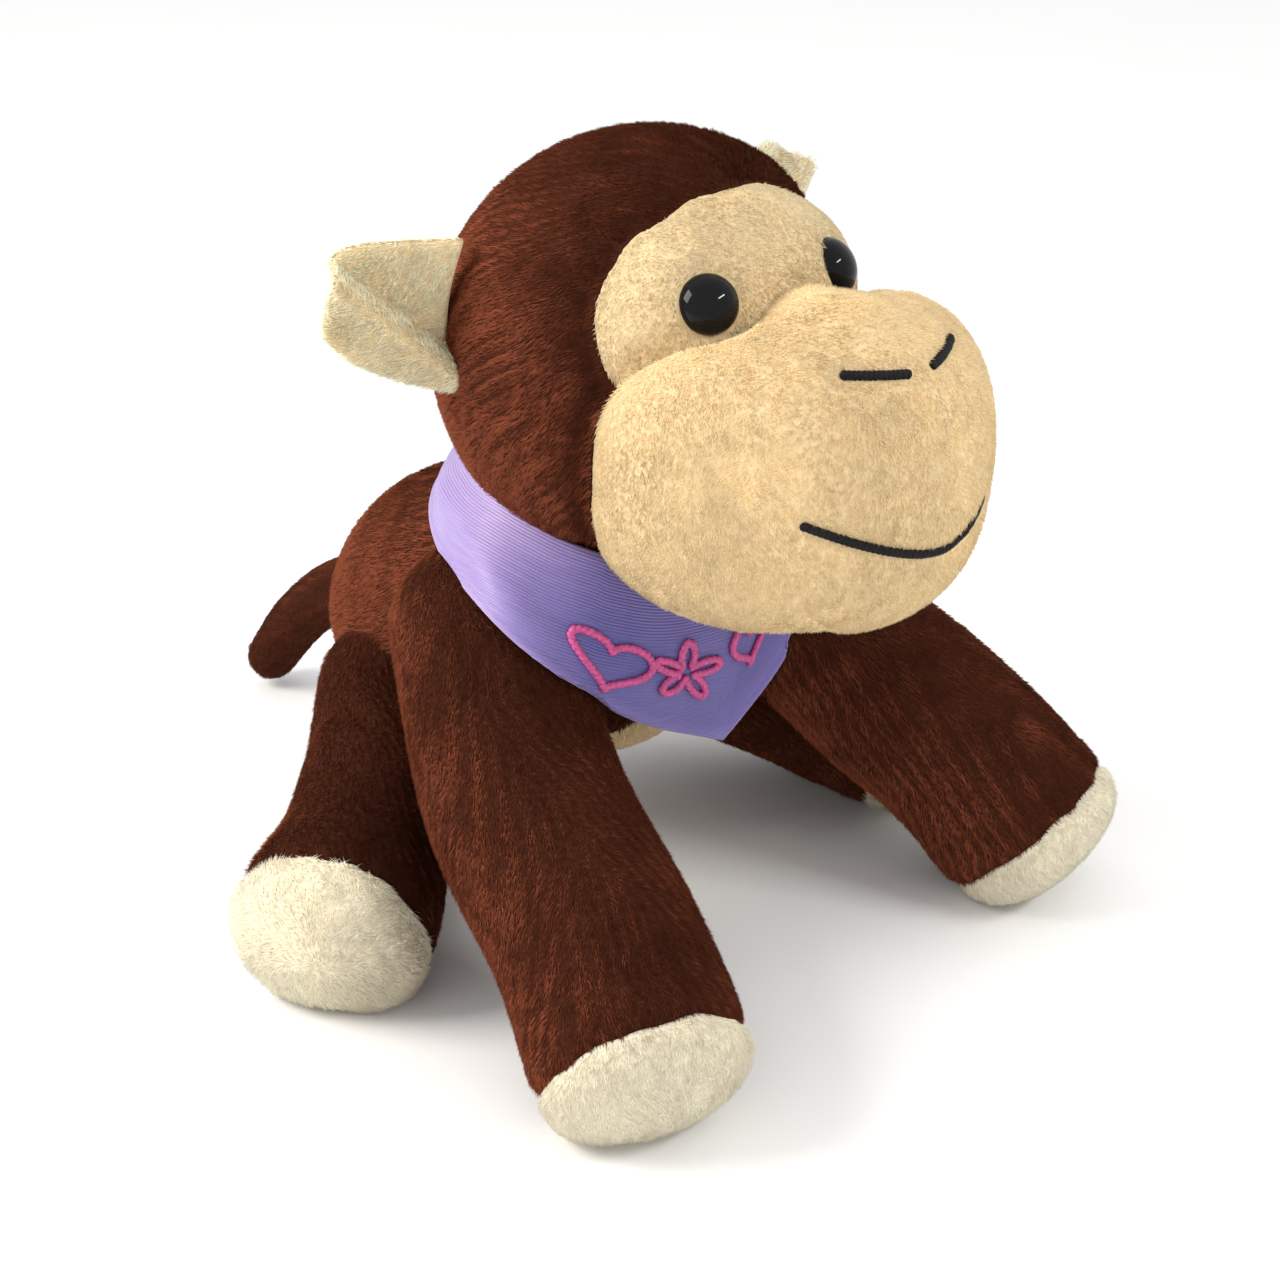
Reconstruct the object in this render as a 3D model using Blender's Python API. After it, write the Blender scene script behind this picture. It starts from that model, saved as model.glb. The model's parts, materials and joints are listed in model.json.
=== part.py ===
"""A stuffed monkey on all fours, with a bandana round its neck.

Lengths are in millimetres in this file and become metres when a mesh is made.
+Z is up, the monkey faces -Y, and its right side is at -X. The origin is on the
floor under the middle of the toy. Cloth pieces are open shells over their filling.
"""
import math

import bmesh
import bpy
from mathutils import Matrix, Vector

MM = 0.001
WELD = 0.000004

# Cloth and clearances
CLOTH = 2.2
GAP = 0.35
FILLING_GAP = 0.8
SWEEP_GAP = 0.7
HEAD_PLAY = 1.0

# Head
HEAD_CENTRE = Vector((0, -36, 126))
HEAD_RADIUS = 43.0
MUZZLE_CENTRE = Vector((0, -71.5, 112.5))
MUZZLE_HALF = Vector((36.5, 39.5, 31.5))
MUZZLE_FULLNESS = 2.5
MASK_CENTRE_Z = 138.0
MASK_HALF = (34.5, 25.0)
EYE_AIM = Vector((17, -33, 21))
EYE_RADIUS = 6.0
EYE_DOME = 4.6
SHANK_RADIUS = 1.6
SHANK_LENGTH = 9.0
WASHER_RADIUS = 5.0
WASHER_THICKNESS = 1.2
THREAD_RADIUS = 0.7
THREAD_LIFT = 0.5
NOSTRIL_INNER = (4.5, 138.5)
NOSTRIL_OUTER = (15.5, 137.0)
SMILE_HALF_WIDTH = 25.0
SMILE_LOW_Z = 105.5
SMILE_RISE = 8.5

# Ears
EAR_ROOT = Vector((41.2, -21.5, 139))
EAR_OUTWARD = Vector((0.93, 0.36, 0.06))
EAR_LENGTH = 27.0
EAR_HEIGHT = 28.0
EAR_LAYER = 1.9
EAR_CUP = 4.0

# Neck and torso
NECK_RADIUS = 15.0
NECK_BASE_Z = 70.0
TORSO_PATH = [(0, -18, 64), (0, 0, 57), (0, 18, 50)]
TORSO_RADII = [30.0, 33.0, 34.0]
BELLY_HALF = (19.0, 42.0)
POUCH_CENTRE = Vector((0, 22, 38))
POUCH_HALF = Vector((11, 15, 10))

# Limbs: the first point of each path is its joint
ARM_RADII = [15.0, 17.5, 19.0, 20.0]
ARM_PATHS = {
    "right": [(-33, -22, 68), (-46, -48, 44), (-55, -77, 28.5), (-62, -96, 15.2)],
    "left": [(33, -24, 67), (45, -60, 46), (54, -81, 31), (60, -94, 15.2)],
}
LEG_RADII = [14.0, 17.0, 18.0, 19.5]
LEG_PATHS = {
    "right": [(-31, 15, 40), (-47, 2, 28), (-61, -11, 21.5), (-76.5, -21.5, 17.8)],
    "left": [(31, 15, 40), (49, -1, 28), (64, -23, 21), (73, -45, 18)],
}
LIMB_TIP = 11.0
TAIL_PATH = [(0, 48, 46), (0, 70, 40), (0, 90, 24), (0, 105.5, 8.0)]
TAIL_RADII = [7.0, 7.4, 7.0, 6.0]
TAIL_TIP = 6.0

# Joint ranges in degrees, which the sockets leave room for
ARM_SWING = (-12, 5)
LEG_TURNS = {"right": (-15, 6), "left": (0, 20)}
TAIL_LIFT = (0, 50)
HEAD_NOD = (-12, 5)
NECK_TURN = (-20, 20)

# Bandana: its upper and lower edges on the monkey's right, front to back
BANDANA_THICKNESS = 1.3
BANDANA_TOP = [
    (0, -53, 77), (-17, -49, 80), (-30, -40, 90), (-35.5, -24, 98),
    (-29, -6, 101), (-15, 4, 101), (0, 7, 101),
]
BANDANA_LOW = [
    (0, -56, 47), (-24, -52, 60), (-41, -44, 76), (-45, -28, 86),
    (-38, -4, 93), (-21, 12, 94), (0, 18, 93),
]
KNOT_CENTRE = Vector((0, 22, 101))
KNOT_HALF = Vector((7, 4.5, 4))
KNOT_END = [(2.5, 1, 0), (4, 4, -3), (4.5, 5.5, -8), (4.5, 6, -13)]
KNOT_END_RADII = [2.0, 2.6, 3.0, 3.0]

BROWN = (0.16, 0.05, 0.025)
CREAM = (0.84, 0.66, 0.42)
PALE_CREAM = (0.88, 0.78, 0.62)
LAVENDER = (0.28, 0.24, 0.56)
PINK = (0.75, 0.12, 0.38)
BLACK = (0.01, 0.01, 0.01)
STUFFING = (0.85, 0.85, 0.83)
PELLET_BAG = (0.75, 0.74, 0.7)


def clear_scene():
    for item in list(bpy.data.objects):
        bpy.data.objects.remove(item, do_unlink=True)


def material(name, colour, roughness):
    """One Principled material, made once and shared."""
    made = bpy.data.materials.get(name)
    if made:
        return made
    made = bpy.data.materials.new(name)
    made.use_nodes = True
    shader = made.node_tree.nodes["Principled BSDF"]
    shader.inputs["Base Color"].default_value = (*colour, 1.0)
    shader.inputs["Roughness"].default_value = roughness
    return made


def mesh_object(name, points, faces):
    """An object whose mesh has these points, given in millimetres, and these faces."""
    mesh = bpy.data.meshes.new(name)
    mesh.from_pydata([Vector(point) * MM for point in points], [], faces)
    mesh.update()
    made = bpy.data.objects.new(name, mesh)
    bpy.context.scene.collection.objects.link(made)
    tidy_normals(made)
    return made


def tidy_normals(item):
    work = bmesh.new()
    work.from_mesh(item.data)
    bmesh.ops.recalc_face_normals(work, faces=work.faces)
    work.to_mesh(item.data)
    work.free()


def combine(target, tool, operation="DIFFERENCE", keep=False):
    """Cut, join or intersect the target with the tool, and drop the tool unless kept."""
    step = target.modifiers.new("step", "BOOLEAN")
    step.operation = operation
    step.solver = "EXACT"
    step.object = tool
    graph = bpy.context.evaluated_depsgraph_get()
    result = bpy.data.meshes.new_from_object(target.evaluated_get(graph))
    target.modifiers.remove(step)
    target.data = result
    if not keep:
        bpy.data.objects.remove(tool, do_unlink=True)
    return target


def keep_largest(item):
    """Drop the offcuts that a socket leaves, keeping the one main body."""
    work = bmesh.new()
    work.from_mesh(item.data)
    bmesh.ops.remove_doubles(work, verts=work.verts, dist=WELD)
    bmesh.ops.dissolve_degenerate(work, edges=work.edges, dist=WELD)
    left = set(work.verts)
    islands = []
    while left:
        front = [left.pop()]
        island = list(front)
        while front:
            here = front.pop()
            for edge in here.link_edges:
                there = edge.other_vert(here)
                if there in left:
                    left.remove(there)
                    front.append(there)
                    island.append(there)
        islands.append(island)
    islands.sort(key=len, reverse=True)
    for island in islands[1:]:
        bmesh.ops.delete(work, geom=island, context="VERTS")
    work.to_mesh(item.data)
    work.free()
    return item


def finish(item, name, look):
    """Name the object, give it its material and shade it smooth."""
    item.name = name
    item.data.name = name
    item.data.materials.clear()
    item.data.materials.append(look)
    item.data.shade_smooth()
    item.data.set_sharp_from_angle(angle=math.radians(50))
    return item


def set_origin(items, point):
    """Put the origin of each object on its joint, without moving its mesh in the world."""
    for item in items:
        item.data.transform(Matrix.Translation(-point * MM))
        item.location = point * MM


def superellipsoid(name, centre, half, fullness=2.0, sides=24, rows=12):
    """A closed ball with half lengths along X, Y and Z; a fullness over 2 makes it boxier."""
    points = []
    for row in range(1, rows):
        polar = math.pi * row / rows
        for side in range(sides):
            around = math.tau * side / sides
            level = math.sin(polar)
            ray = Vector((level * math.cos(around), level * math.sin(around), math.cos(polar)))
            size = sum(abs(ray[k] / half[k]) ** fullness for k in range(3)) ** (1.0 / fullness)
            points.append(centre + ray / size)
    points.append(centre + Vector((0, 0, half[2])))
    points.append(centre - Vector((0, 0, half[2])))
    faces = grid_faces(rows - 1, sides)
    top = len(points) - 2
    for side in range(sides):
        after = (side + 1) % sides
        faces.append((top, side, after))
        faces.append((top + 1, (rows - 2) * sides + after, (rows - 2) * sides + side))
    return mesh_object(name, points, faces)


def grid_faces(rows, sides):
    """Quads between successive closed rings of points."""
    faces = []
    for row in range(rows - 1):
        for side in range(sides):
            after = (side + 1) % sides
            low = row * sides
            faces.append((low + side, low + after, low + sides + after, low + sides + side))
    return faces


def prism(name, centre, axis, half_u, half_v, length, sides=32):
    """A straight prism of oval section that starts at the centre and runs along the axis."""
    axis = axis.normalized()
    across = axis.cross(Vector((0, 0, 1))) if abs(axis.z) < 0.9 else Vector((1, 0, 0))
    across.normalize()
    upward = across.cross(axis).normalized()
    points = []
    for reach in (0.0, length):
        for side in range(sides):
            turn = math.tau * side / sides
            offset = across * (half_u * math.cos(turn)) + upward * (half_v * math.sin(turn))
            points.append(centre + axis * reach + offset)
    faces = grid_faces(2, sides)
    faces.append(tuple(range(sides)))
    faces.append(tuple(range(2 * sides - 1, sides - 1, -1)))
    return mesh_object(name, points, faces)


def path_at(points, reach):
    """A point on the smooth curve through the given points; reach runs from 0 to 1."""
    place = reach * (len(points) - 1)
    index = min(int(place), len(points) - 2)
    t = place - index
    b, c = points[index], points[index + 1]
    a = points[index - 1] if index > 0 else b * 2 - c
    d = points[index + 2] if index + 2 < len(points) else c * 2 - b
    square = (2 * a - 5 * b + 4 * c - d) * t * t
    cube = (3 * b - a - 3 * c + d) * t ** 3
    return 0.5 * (2 * b + (c - a) * t + square + cube)


def value_at(values, reach):
    """A smoothly varying number along a path, one value for each of its points."""
    return path_at([Vector((value, 0, 0)) for value in values], reach).x


class Limb:
    """A stuffed tube along a path: a half ball at its start and a shallow dome at its tip."""

    def __init__(self, path, radii, tip, sides=12, steps=5, floor=0.0):
        self.path = [Vector(point) for point in path]
        self.radii = radii
        self.tip = tip
        self.sides = sides
        self.steps = steps
        self.floor = floor

    def ring(self, centre, along, radius, inset):
        across = along.cross(Vector((0, 0, 1))).normalized()
        upward = across.cross(along).normalized()
        ring = []
        for side in range(self.sides):
            turn = math.tau * (side + 0.5) / self.sides
            point = centre + across * (radius * math.cos(turn)) + upward * (radius * math.sin(turn))
            point.z = max(point.z, self.floor + inset)
            ring.append(point)
        return ring

    def along(self, reach):
        ahead = path_at(self.path, min(reach + 0.01, 1.0))
        return (ahead - path_at(self.path, max(reach - 0.01, 0.0))).normalized()

    def start_rings(self, inset):
        """The pole and the rings of the half ball at the start."""
        radius = self.radii[0] - inset
        along = self.along(0.0)
        rings = []
        for step in range(1, 4):
            lean = math.radians(90 * (1 - step / 4))
            centre = self.path[0] - along * (radius * math.sin(lean))
            rings.append(self.ring(centre, along, radius * math.cos(lean), inset))
        return self.path[0] - along * radius, rings

    def side_rings(self, inset, trim=0.0):
        """The rings along the path; trim takes a little off the tip end."""
        rings = []
        for step in range(self.steps + 1):
            reach = step / self.steps
            centre = path_at(self.path, reach)
            if step == self.steps:
                centre = centre - self.along(1.0) * trim
            rings.append(self.ring(centre, self.along(reach), value_at(self.radii, reach) - inset, inset))
        return rings

    def tip_rings(self, inset, start=0.0):
        """The rings of the dome at the tip, from the seam outwards, and its pole."""
        radius = self.radii[-1] - inset
        along = self.along(1.0)
        seam = self.path[-1]
        rings = [self.ring(seam + along * start, along, radius, inset)]
        for step in range(1, 4):
            lean = math.radians(90 * step / 4)
            centre = seam + along * ((self.tip - inset) * math.sin(lean))
            rings.append(self.ring(centre, along, radius * math.cos(lean) ** 0.6, inset))
        return rings, seam + along * (self.tip - inset)

    def solid(self, name, inset=0.0):
        """The whole tube as one closed solid, shrunk by the inset, or grown if it is negative."""
        start_pole, start = self.start_rings(inset)
        tip, tip_pole = self.tip_rings(inset)
        return closed_tube(name, start_pole, start + self.side_rings(inset) + tip[1:], tip_pole)

    def sleeve(self, name):
        """The cloth tube, closed over the start and open at the tip seam."""
        outer_pole, outer = self.start_rings(0.0)
        inner_pole, inner = self.start_rings(CLOTH)
        outer = outer + self.side_rings(0.0, GAP / 2)
        inner = inner + self.side_rings(CLOTH, GAP / 2)
        return closed_tube(name, outer_pole, outer + inner[::-1], inner_pole)

    def cap(self, name):
        """The cloth cup that is sewn over the tip."""
        outer, outer_pole = self.tip_rings(0.0, GAP / 2)
        inner, inner_pole = self.tip_rings(CLOTH, GAP / 2)
        return closed_tube(name, outer_pole, outer[::-1] + inner, inner_pole)

    def sweep(self, name, axis, angles, reach):
        """One convex block that holds the root of the limb through its whole swing."""
        start_pole, start = self.start_rings(-SWEEP_GAP)
        count = max(2, math.ceil(reach * self.steps) + 1)
        near = [start_pole]
        for ring in start + self.side_rings(-SWEEP_GAP)[:count]:
            near.extend(ring)
        turns = [Matrix.Rotation(angle, 3, axis) for angle in spread(angles, 4)]
        return convex_block(name, near, turns, self.path[0])


def spread(angles, count):
    """Angles in radians, evenly spread between two limits in degrees."""
    low, high = angles
    return [math.radians(low + (high - low) * step / count) for step in range(count + 1)]


def convex_block(name, near, turns, pivot):
    """The convex block round these points at every one of their turns about the pivot."""
    work = bmesh.new()
    for turn in turns:
        for point in near:
            work.verts.new((pivot + turn @ (point - pivot)) * MM)
    hull = bmesh.ops.convex_hull(work, input=work.verts)
    inside = [part for part in hull["geom_interior"] if isinstance(part, bmesh.types.BMVert)]
    bmesh.ops.delete(work, geom=inside, context="VERTS")
    bmesh.ops.dissolve_limit(work, angle_limit=math.radians(4), verts=work.verts, edges=work.edges)
    mesh = bpy.data.meshes.new(name)
    work.to_mesh(mesh)
    work.free()
    made = bpy.data.objects.new(name, mesh)
    bpy.context.scene.collection.objects.link(made)
    tidy_normals(made)
    return made


def closed_tube(name, first_pole, rings, last_pole):
    """A closed skin through rings of equal length, with a pole at each end."""
    sides = len(rings[0])
    points = [point for ring in rings for point in ring]
    faces = grid_faces(len(rings), sides)
    points.append(first_pole)
    points.append(last_pole)
    last = (len(rings) - 1) * sides
    for side in range(sides):
        after = (side + 1) % sides
        faces.append((len(points) - 2, after, side))
        faces.append((len(points) - 1, last + side, last + after))
    return mesh_object(name, points, faces)


def thread(name, path, radius, sides=6):
    """A short sewn thread with flat ends along a list of points."""
    points = []
    for index, centre in enumerate(path):
        before = path[max(index - 1, 0)]
        after = path[min(index + 1, len(path) - 1)]
        along = (after - before).normalized()
        across = along.cross(Vector((0.3, 1, 0.2))).normalized()
        upward = across.cross(along).normalized()
        for side in range(sides):
            turn = math.tau * side / sides
            points.append(centre + across * (radius * math.cos(turn)) + upward * (radius * math.sin(turn)))
    faces = grid_faces(len(path), sides)
    faces.append(tuple(range(sides)))
    faces.append(tuple(range(len(points) - 1, len(points) - sides - 1, -1)))
    return mesh_object(name, points, faces)


def head_solid(name, inset=0.0):
    radius = HEAD_RADIUS - inset
    return superellipsoid(name, HEAD_CENTRE, (radius, radius, radius), sides=22, rows=12)


def muzzle_solid(name, inset=0.0):
    half = [length - inset for length in MUZZLE_HALF]
    return superellipsoid(name, MUZZLE_CENTRE, half, MUZZLE_FULLNESS, sides=20, rows=10)


def muzzle_sweep(name):
    """The convex room that the muzzle needs as the head nods and turns."""
    shape = muzzle_solid(name, -SWEEP_GAP)
    near = [vertex.co / MM for vertex in shape.data.vertices]
    bpy.data.objects.remove(shape, do_unlink=True)
    turns = []
    for turn in spread(NECK_TURN, 4):
        for nod in spread(HEAD_NOD, 2):
            turns.append(Matrix.Rotation(turn, 3, "Z") @ Matrix.Rotation(nod, 3, "X"))
    return convex_block(name, near, turns, HEAD_CENTRE)


def muzzle_skin(x, z, lift):
    """The point of the muzzle's front at this x and z, lifted off the cloth."""
    across = abs(x / MUZZLE_HALF.x) ** MUZZLE_FULLNESS
    rise = abs((z - MUZZLE_CENTRE.z) / MUZZLE_HALF.z) ** MUZZLE_FULLNESS
    depth = MUZZLE_HALF.y * max(0.0, 1 - across - rise) ** (1 / MUZZLE_FULLNESS)
    point = Vector((x, MUZZLE_CENTRE.y - depth, z))
    away = (point - MUZZLE_CENTRE).normalized()
    return point + away * lift


def eye_aim(side):
    return Vector((side * EYE_AIM.x, EYE_AIM.y, EYE_AIM.z)).normalized()


def make_eye(side, word):
    """A domed safety eye: the shank goes through the cloth, and a washer locks it from behind."""
    aim = eye_aim(side)
    seat = HEAD_CENTRE + aim * (HEAD_RADIUS + GAP)
    across = aim.cross(Vector((0, 0, 1))).normalized()
    upward = across.cross(aim).normalized()

    def ring(depth, radius, sides=12):
        turns = [math.tau * step / sides for step in range(sides)]
        centre = seat + aim * depth
        return [centre + across * (radius * math.cos(t)) + upward * (radius * math.sin(t)) for t in turns]

    rings = [ring(-SHANK_LENGTH + 0.8, SHANK_RADIUS), ring(0.0, SHANK_RADIUS), ring(0.0, EYE_RADIUS * 0.93)]
    for step in range(4):
        lean = math.radians(8 + 20 * step)
        rings.append(ring(0.5 + (EYE_DOME - 0.5) * math.sin(lean), EYE_RADIUS * math.cos(lean)))
    eye = closed_tube("eye", seat - aim * SHANK_LENGTH, rings, seat + aim * EYE_DOME)
    finish(eye, f"eye_{word}", material("eye_gloss", BLACK, 0.05))

    back = HEAD_RADIUS - CLOTH - 3 * GAP
    centre = HEAD_CENTRE + aim * (back - WASHER_THICKNESS)
    washer = prism("washer", centre, aim, WASHER_RADIUS, WASHER_RADIUS, WASHER_THICKNESS, 16)
    hole = SHANK_RADIUS + GAP
    bore = prism("bore", centre - aim, aim, hole, hole, WASHER_THICKNESS + 2, 14)
    combine(washer, bore)
    finish(washer, f"eye_washer_{word}", material("washer_plastic", PALE_CREAM, 0.5))


def make_head():
    """Hood, mask, muzzle and filling of the head, cut from one ball and one full oval."""
    hood = combine(head_solid("hood"), head_solid("hollow", CLOTH))
    mask = combine(head_solid("mask"), head_solid("hollow", CLOTH))
    forward = Vector((0, -1, 0))
    start = Vector((0, HEAD_CENTRE.y, MASK_CENTRE_Z))
    combine(hood, prism("mask_room", start, forward, MASK_HALF[0] + GAP, MASK_HALF[1] + GAP, 60))
    combine(mask, prism("mask_edge", start, forward, MASK_HALF[0], MASK_HALF[1], 60), "INTERSECT")
    muzzle = combine(muzzle_solid("muzzle"), muzzle_solid("hollow", CLOTH))
    combine(muzzle, head_solid("head_side"))
    filling = head_solid("filling", CLOTH + FILLING_GAP)
    combine(filling, muzzle_solid("muzzle_filling", CLOTH + FILLING_GAP), "UNION")
    for piece in (hood, mask):
        combine(piece, muzzle_solid("muzzle_room", -GAP))
    for side in (-1, 1):
        aim = eye_aim(side)
        shank_hole = SHANK_RADIUS + GAP
        combine(mask, prism("hole", HEAD_CENTRE + aim * 30, aim, shank_hole, shank_hole, 20, 14))
        room = WASHER_RADIUS + GAP
        start = HEAD_CENTRE + aim * (HEAD_RADIUS - SHANK_LENGTH - 1)
        combine(filling, prism("pocket", start, aim, room, room, 20, 16))
        lid = HEAD_CENTRE + aim * (HEAD_RADIUS - 1)
        combine(muzzle, prism("eye_room", lid, aim, EYE_RADIUS + 0.8, EYE_RADIUS + 0.8, 20, 16))
    plush_brown = material("plush_brown", BROWN, 0.95)
    plush_cream = material("plush_cream", CREAM, 0.95)
    finish(keep_largest(hood), "head_hood", plush_brown)
    finish(keep_largest(mask), "face_mask", plush_cream)
    finish(keep_largest(muzzle), "muzzle", plush_cream)
    finish(keep_largest(filling), "head_filling", material("stuffing", STUFFING, 1.0))


def make_face_threads():
    """Two nostrils and a smile, each a line of black thread on the muzzle."""
    black = material("thread_black", BLACK, 0.6)
    lift = THREAD_RADIUS + THREAD_LIFT
    for side, word in ((-1, "right"), (1, "left")):
        path = []
        for step in range(6):
            share = step / 5
            x = NOSTRIL_INNER[0] + (NOSTRIL_OUTER[0] - NOSTRIL_INNER[0]) * share
            z = NOSTRIL_INNER[1] + (NOSTRIL_OUTER[1] - NOSTRIL_INNER[1]) * share
            path.append(muzzle_skin(side * x, z, lift))
        finish(thread("nostril", path, THREAD_RADIUS), f"nostril_{word}", black)
    smile = []
    for step in range(13):
        across = 2 * step / 12 - 1
        rise = SMILE_RISE * abs(across) ** 1.6
        smile.append(muzzle_skin(SMILE_HALF_WIDTH * across, SMILE_LOW_Z + rise, lift))
    finish(thread("smile", smile, THREAD_RADIUS), "mouth", black)


def make_ear(side, word):
    """Two cloth layers, front and back, cupped towards the front, round at the rim."""
    root = Vector((side * EAR_ROOT.x, EAR_ROOT.y, EAR_ROOT.z))
    outward = Vector((side * EAR_OUTWARD.x, EAR_OUTWARD.y, EAR_OUTWARD.z)).normalized()
    upward = Vector((0, 0, 1))
    upward = (upward - outward * upward.dot(outward)).normalized()
    facing = outward.cross(upward) * side
    for layer, kind in enumerate(("front", "back")):
        columns, rows = 6, 6
        points = []
        for face_side in (0, 1):
            for i in range(columns):
                reach = i / (columns - 1)
                wide = EAR_HEIGHT / 2 * math.sqrt(max(0.0, 1 - max(0.0, reach - 0.35) ** 2 / 0.47))
                for j in range(rows):
                    rise = 2 * j / (rows - 1) - 1
                    bowl = EAR_CUP * rise * rise * (1 - 0.5 * reach)
                    depth = bowl - (layer * (EAR_LAYER + GAP) + face_side * EAR_LAYER)
                    start = root + outward * (1.2 + EAR_LENGTH * reach)
                    points.append(start + upward * (rise * wide) + facing * depth)
        faces = slab_faces(columns, rows)
        ear = mesh_object("ear", points, faces)
        finish(ear, f"ear_{word}_{kind}", material("plush_cream", CREAM, 0.95))
        set_origin([ear], root)


def slab_faces(columns, rows):
    """Both faces and the rim of a slab whose two grids of points follow each other."""
    faces = []
    half = columns * rows
    for base in (0, half):
        for i in range(columns - 1):
            for j in range(rows - 1):
                corner = base + i * rows + j
                faces.append((corner, corner + rows, corner + rows + 1, corner + 1))
    rim = [i * rows for i in range(columns)]
    rim += [(columns - 1) * rows + j for j in range(1, rows)]
    rim += [i * rows + rows - 1 for i in range(columns - 2, -1, -1)]
    rim += [j for j in range(rows - 2, 0, -1)]
    for index, here in enumerate(rim):
        there = rim[(index + 1) % len(rim)]
        faces.append((here, there, there + half, here + half))
    return faces


def make_neck():
    """The plug of filling that the head sits on: its top is a socket for the head's ball."""
    base = Vector((0, HEAD_CENTRE.y, NECK_BASE_Z))
    plug = prism("plug", base, Vector((0, 0, 1)), NECK_RADIUS, NECK_RADIUS, 30, 24)
    combine(plug, head_solid("ball", -HEAD_PLAY))
    combine(plug, muzzle_sweep("muzzle_room"))
    finish(keep_largest(plug), "neck_filling", material("stuffing", STUFFING, 1.0))
    set_origin([plug], HEAD_CENTRE)


def swept_blocks():
    """The room that each limb and the tail needs in the torso, for its whole swing."""
    blocks = []
    for word in ("right", "left"):
        arm = Limb(ARM_PATHS[word], ARM_RADII, LIMB_TIP)
        blocks.append(arm.sweep("arm_room", "X", ARM_SWING, 0.6))
        leg = Limb(LEG_PATHS[word], LEG_RADII, LIMB_TIP)
        blocks.append(leg.sweep("leg_room", "Z", LEG_TURNS[word], 0.6))
    tail = Limb(TAIL_PATH, TAIL_RADII, TAIL_TIP, sides=12)
    blocks.append(tail.sweep("tail_room", "X", TAIL_LIFT, 0.6))
    return blocks


def torso_limb():
    return Limb(TORSO_PATH, TORSO_RADII, TORSO_RADII[-1], sides=18, steps=3, floor=-100)


def torso_solid(name, inset=0.0):
    """The torso's form: a fat tube with round ends."""
    limb = torso_limb()
    start_pole, start = limb.start_rings(inset)
    radius = TORSO_RADII[-1] - inset
    along = limb.along(1.0)
    rings = []
    for step in range(1, 5):
        lean = math.radians(90 * step / 5)
        centre = limb.path[-1] + along * (radius * math.sin(lean))
        rings.append(limb.ring(centre, along, radius * math.cos(lean), -100))
    end_pole = limb.path[-1] + along * radius
    return closed_tube(name, start_pole, start + limb.side_rings(inset) + rings, end_pole)


def belly_prism(name, grow=0.0):
    """The oval outline of the belly panel, seen from below and in front."""
    torso = torso_limb()
    spine = (torso.path[-1] - torso.path[0]).normalized()
    downward = Vector((0, spine.z, -spine.y)).normalized()
    middle = torso.path[1] + downward * 6
    return prism(name, middle, downward, BELLY_HALF[0] + grow, BELLY_HALF[1] + grow, 60)


def make_torso():
    """Back and belly cloth, filling and pellet pouch, each clear of every limb's swing."""
    back = combine(torso_solid("back"), torso_solid("hollow", CLOTH))
    belly = combine(torso_solid("belly"), torso_solid("hollow", CLOTH))
    combine(back, belly_prism("belly_room", GAP))
    combine(belly, belly_prism("belly_edge"), "INTERSECT")
    filling = torso_solid("filling", CLOTH + FILLING_GAP)
    pouch_room = POUCH_HALF + Vector((GAP, GAP, GAP))
    combine(filling, superellipsoid("pouch_room", POUCH_CENTRE, pouch_room, sides=14, rows=8))
    mouth = prism("mouth", POUCH_CENTRE, Vector((0, 0, -1)), 5, 5, 40, 12)
    combine(filling, mouth)
    cutters = swept_blocks()
    cutters.append(head_solid("head_room", -HEAD_PLAY))
    cutters.append(muzzle_sweep("muzzle_room"))
    base = Vector((0, HEAD_CENTRE.y, NECK_BASE_Z - GAP))
    room = NECK_RADIUS + GAP
    cutters.append(prism("neck_room", base, Vector((0, 0, 1)), room, room, 40, 24))
    for piece in (back, belly, filling):
        for cutter in cutters:
            combine(piece, cutter, keep=True)
    for cutter in cutters:
        bpy.data.objects.remove(cutter, do_unlink=True)
    pouch = superellipsoid("pouch", POUCH_CENTRE, POUCH_HALF, sides=14, rows=8)
    finish(keep_largest(back), "torso_back", material("plush_brown", BROWN, 0.95))
    finish(keep_largest(belly), "torso_belly", material("plush_cream", CREAM, 0.95))
    finish(keep_largest(filling), "torso_filling", material("stuffing", STUFFING, 1.0))
    finish(pouch, "pellet_pouch", material("pellet_bag", PELLET_BAG, 0.8))


def make_limb(kind, word, path, radii, end_name):
    limb = Limb(path, radii, LIMB_TIP)
    sleeve = finish(limb.sleeve("sleeve"), f"{kind}_{word}_sleeve", material("plush_brown", BROWN, 0.95))
    cap = finish(limb.cap("cap"), f"{kind}_{word}_{end_name}", material("plush_pale", PALE_CREAM, 0.95))
    inner = limb.solid("filling", CLOTH + FILLING_GAP)
    filling = finish(inner, f"{kind}_{word}_filling", material("stuffing", STUFFING, 1.0))
    set_origin([sleeve, cap, filling], limb.path[0])


def make_tail():
    """The tail's cloth is one tube with a slit under the root, where it was turned and filled."""
    tail = Limb(TAIL_PATH, TAIL_RADII, TAIL_TIP, sides=12)
    sleeve = combine(tail.solid("tail"), tail.solid("hollow", CLOTH))
    slit = prism("slit", tail.path[0] - Vector((0, 20, -5)), Vector((0, 1, -0.25)), 4, 4, 18, 10)
    combine(sleeve, slit)
    finish(keep_largest(sleeve), "tail_sleeve", material("plush_brown", BROWN, 0.95))
    inner = tail.solid("filling", CLOTH + FILLING_GAP)
    filling = finish(inner, "tail_filling", material("stuffing", STUFFING, 1.0))
    set_origin([sleeve, filling], tail.path[0])


def bandana_edge(edge, turn):
    """A point on an edge of the bandana; turn runs from 0 at the chest right round to 1."""
    points = [Vector(point) for point in edge]
    half = 2 * turn if turn <= 0.5 else 2 * (1 - turn)
    point = path_at(points, half)
    if turn > 0.5:
        point.x = -point.x
    return point


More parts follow.
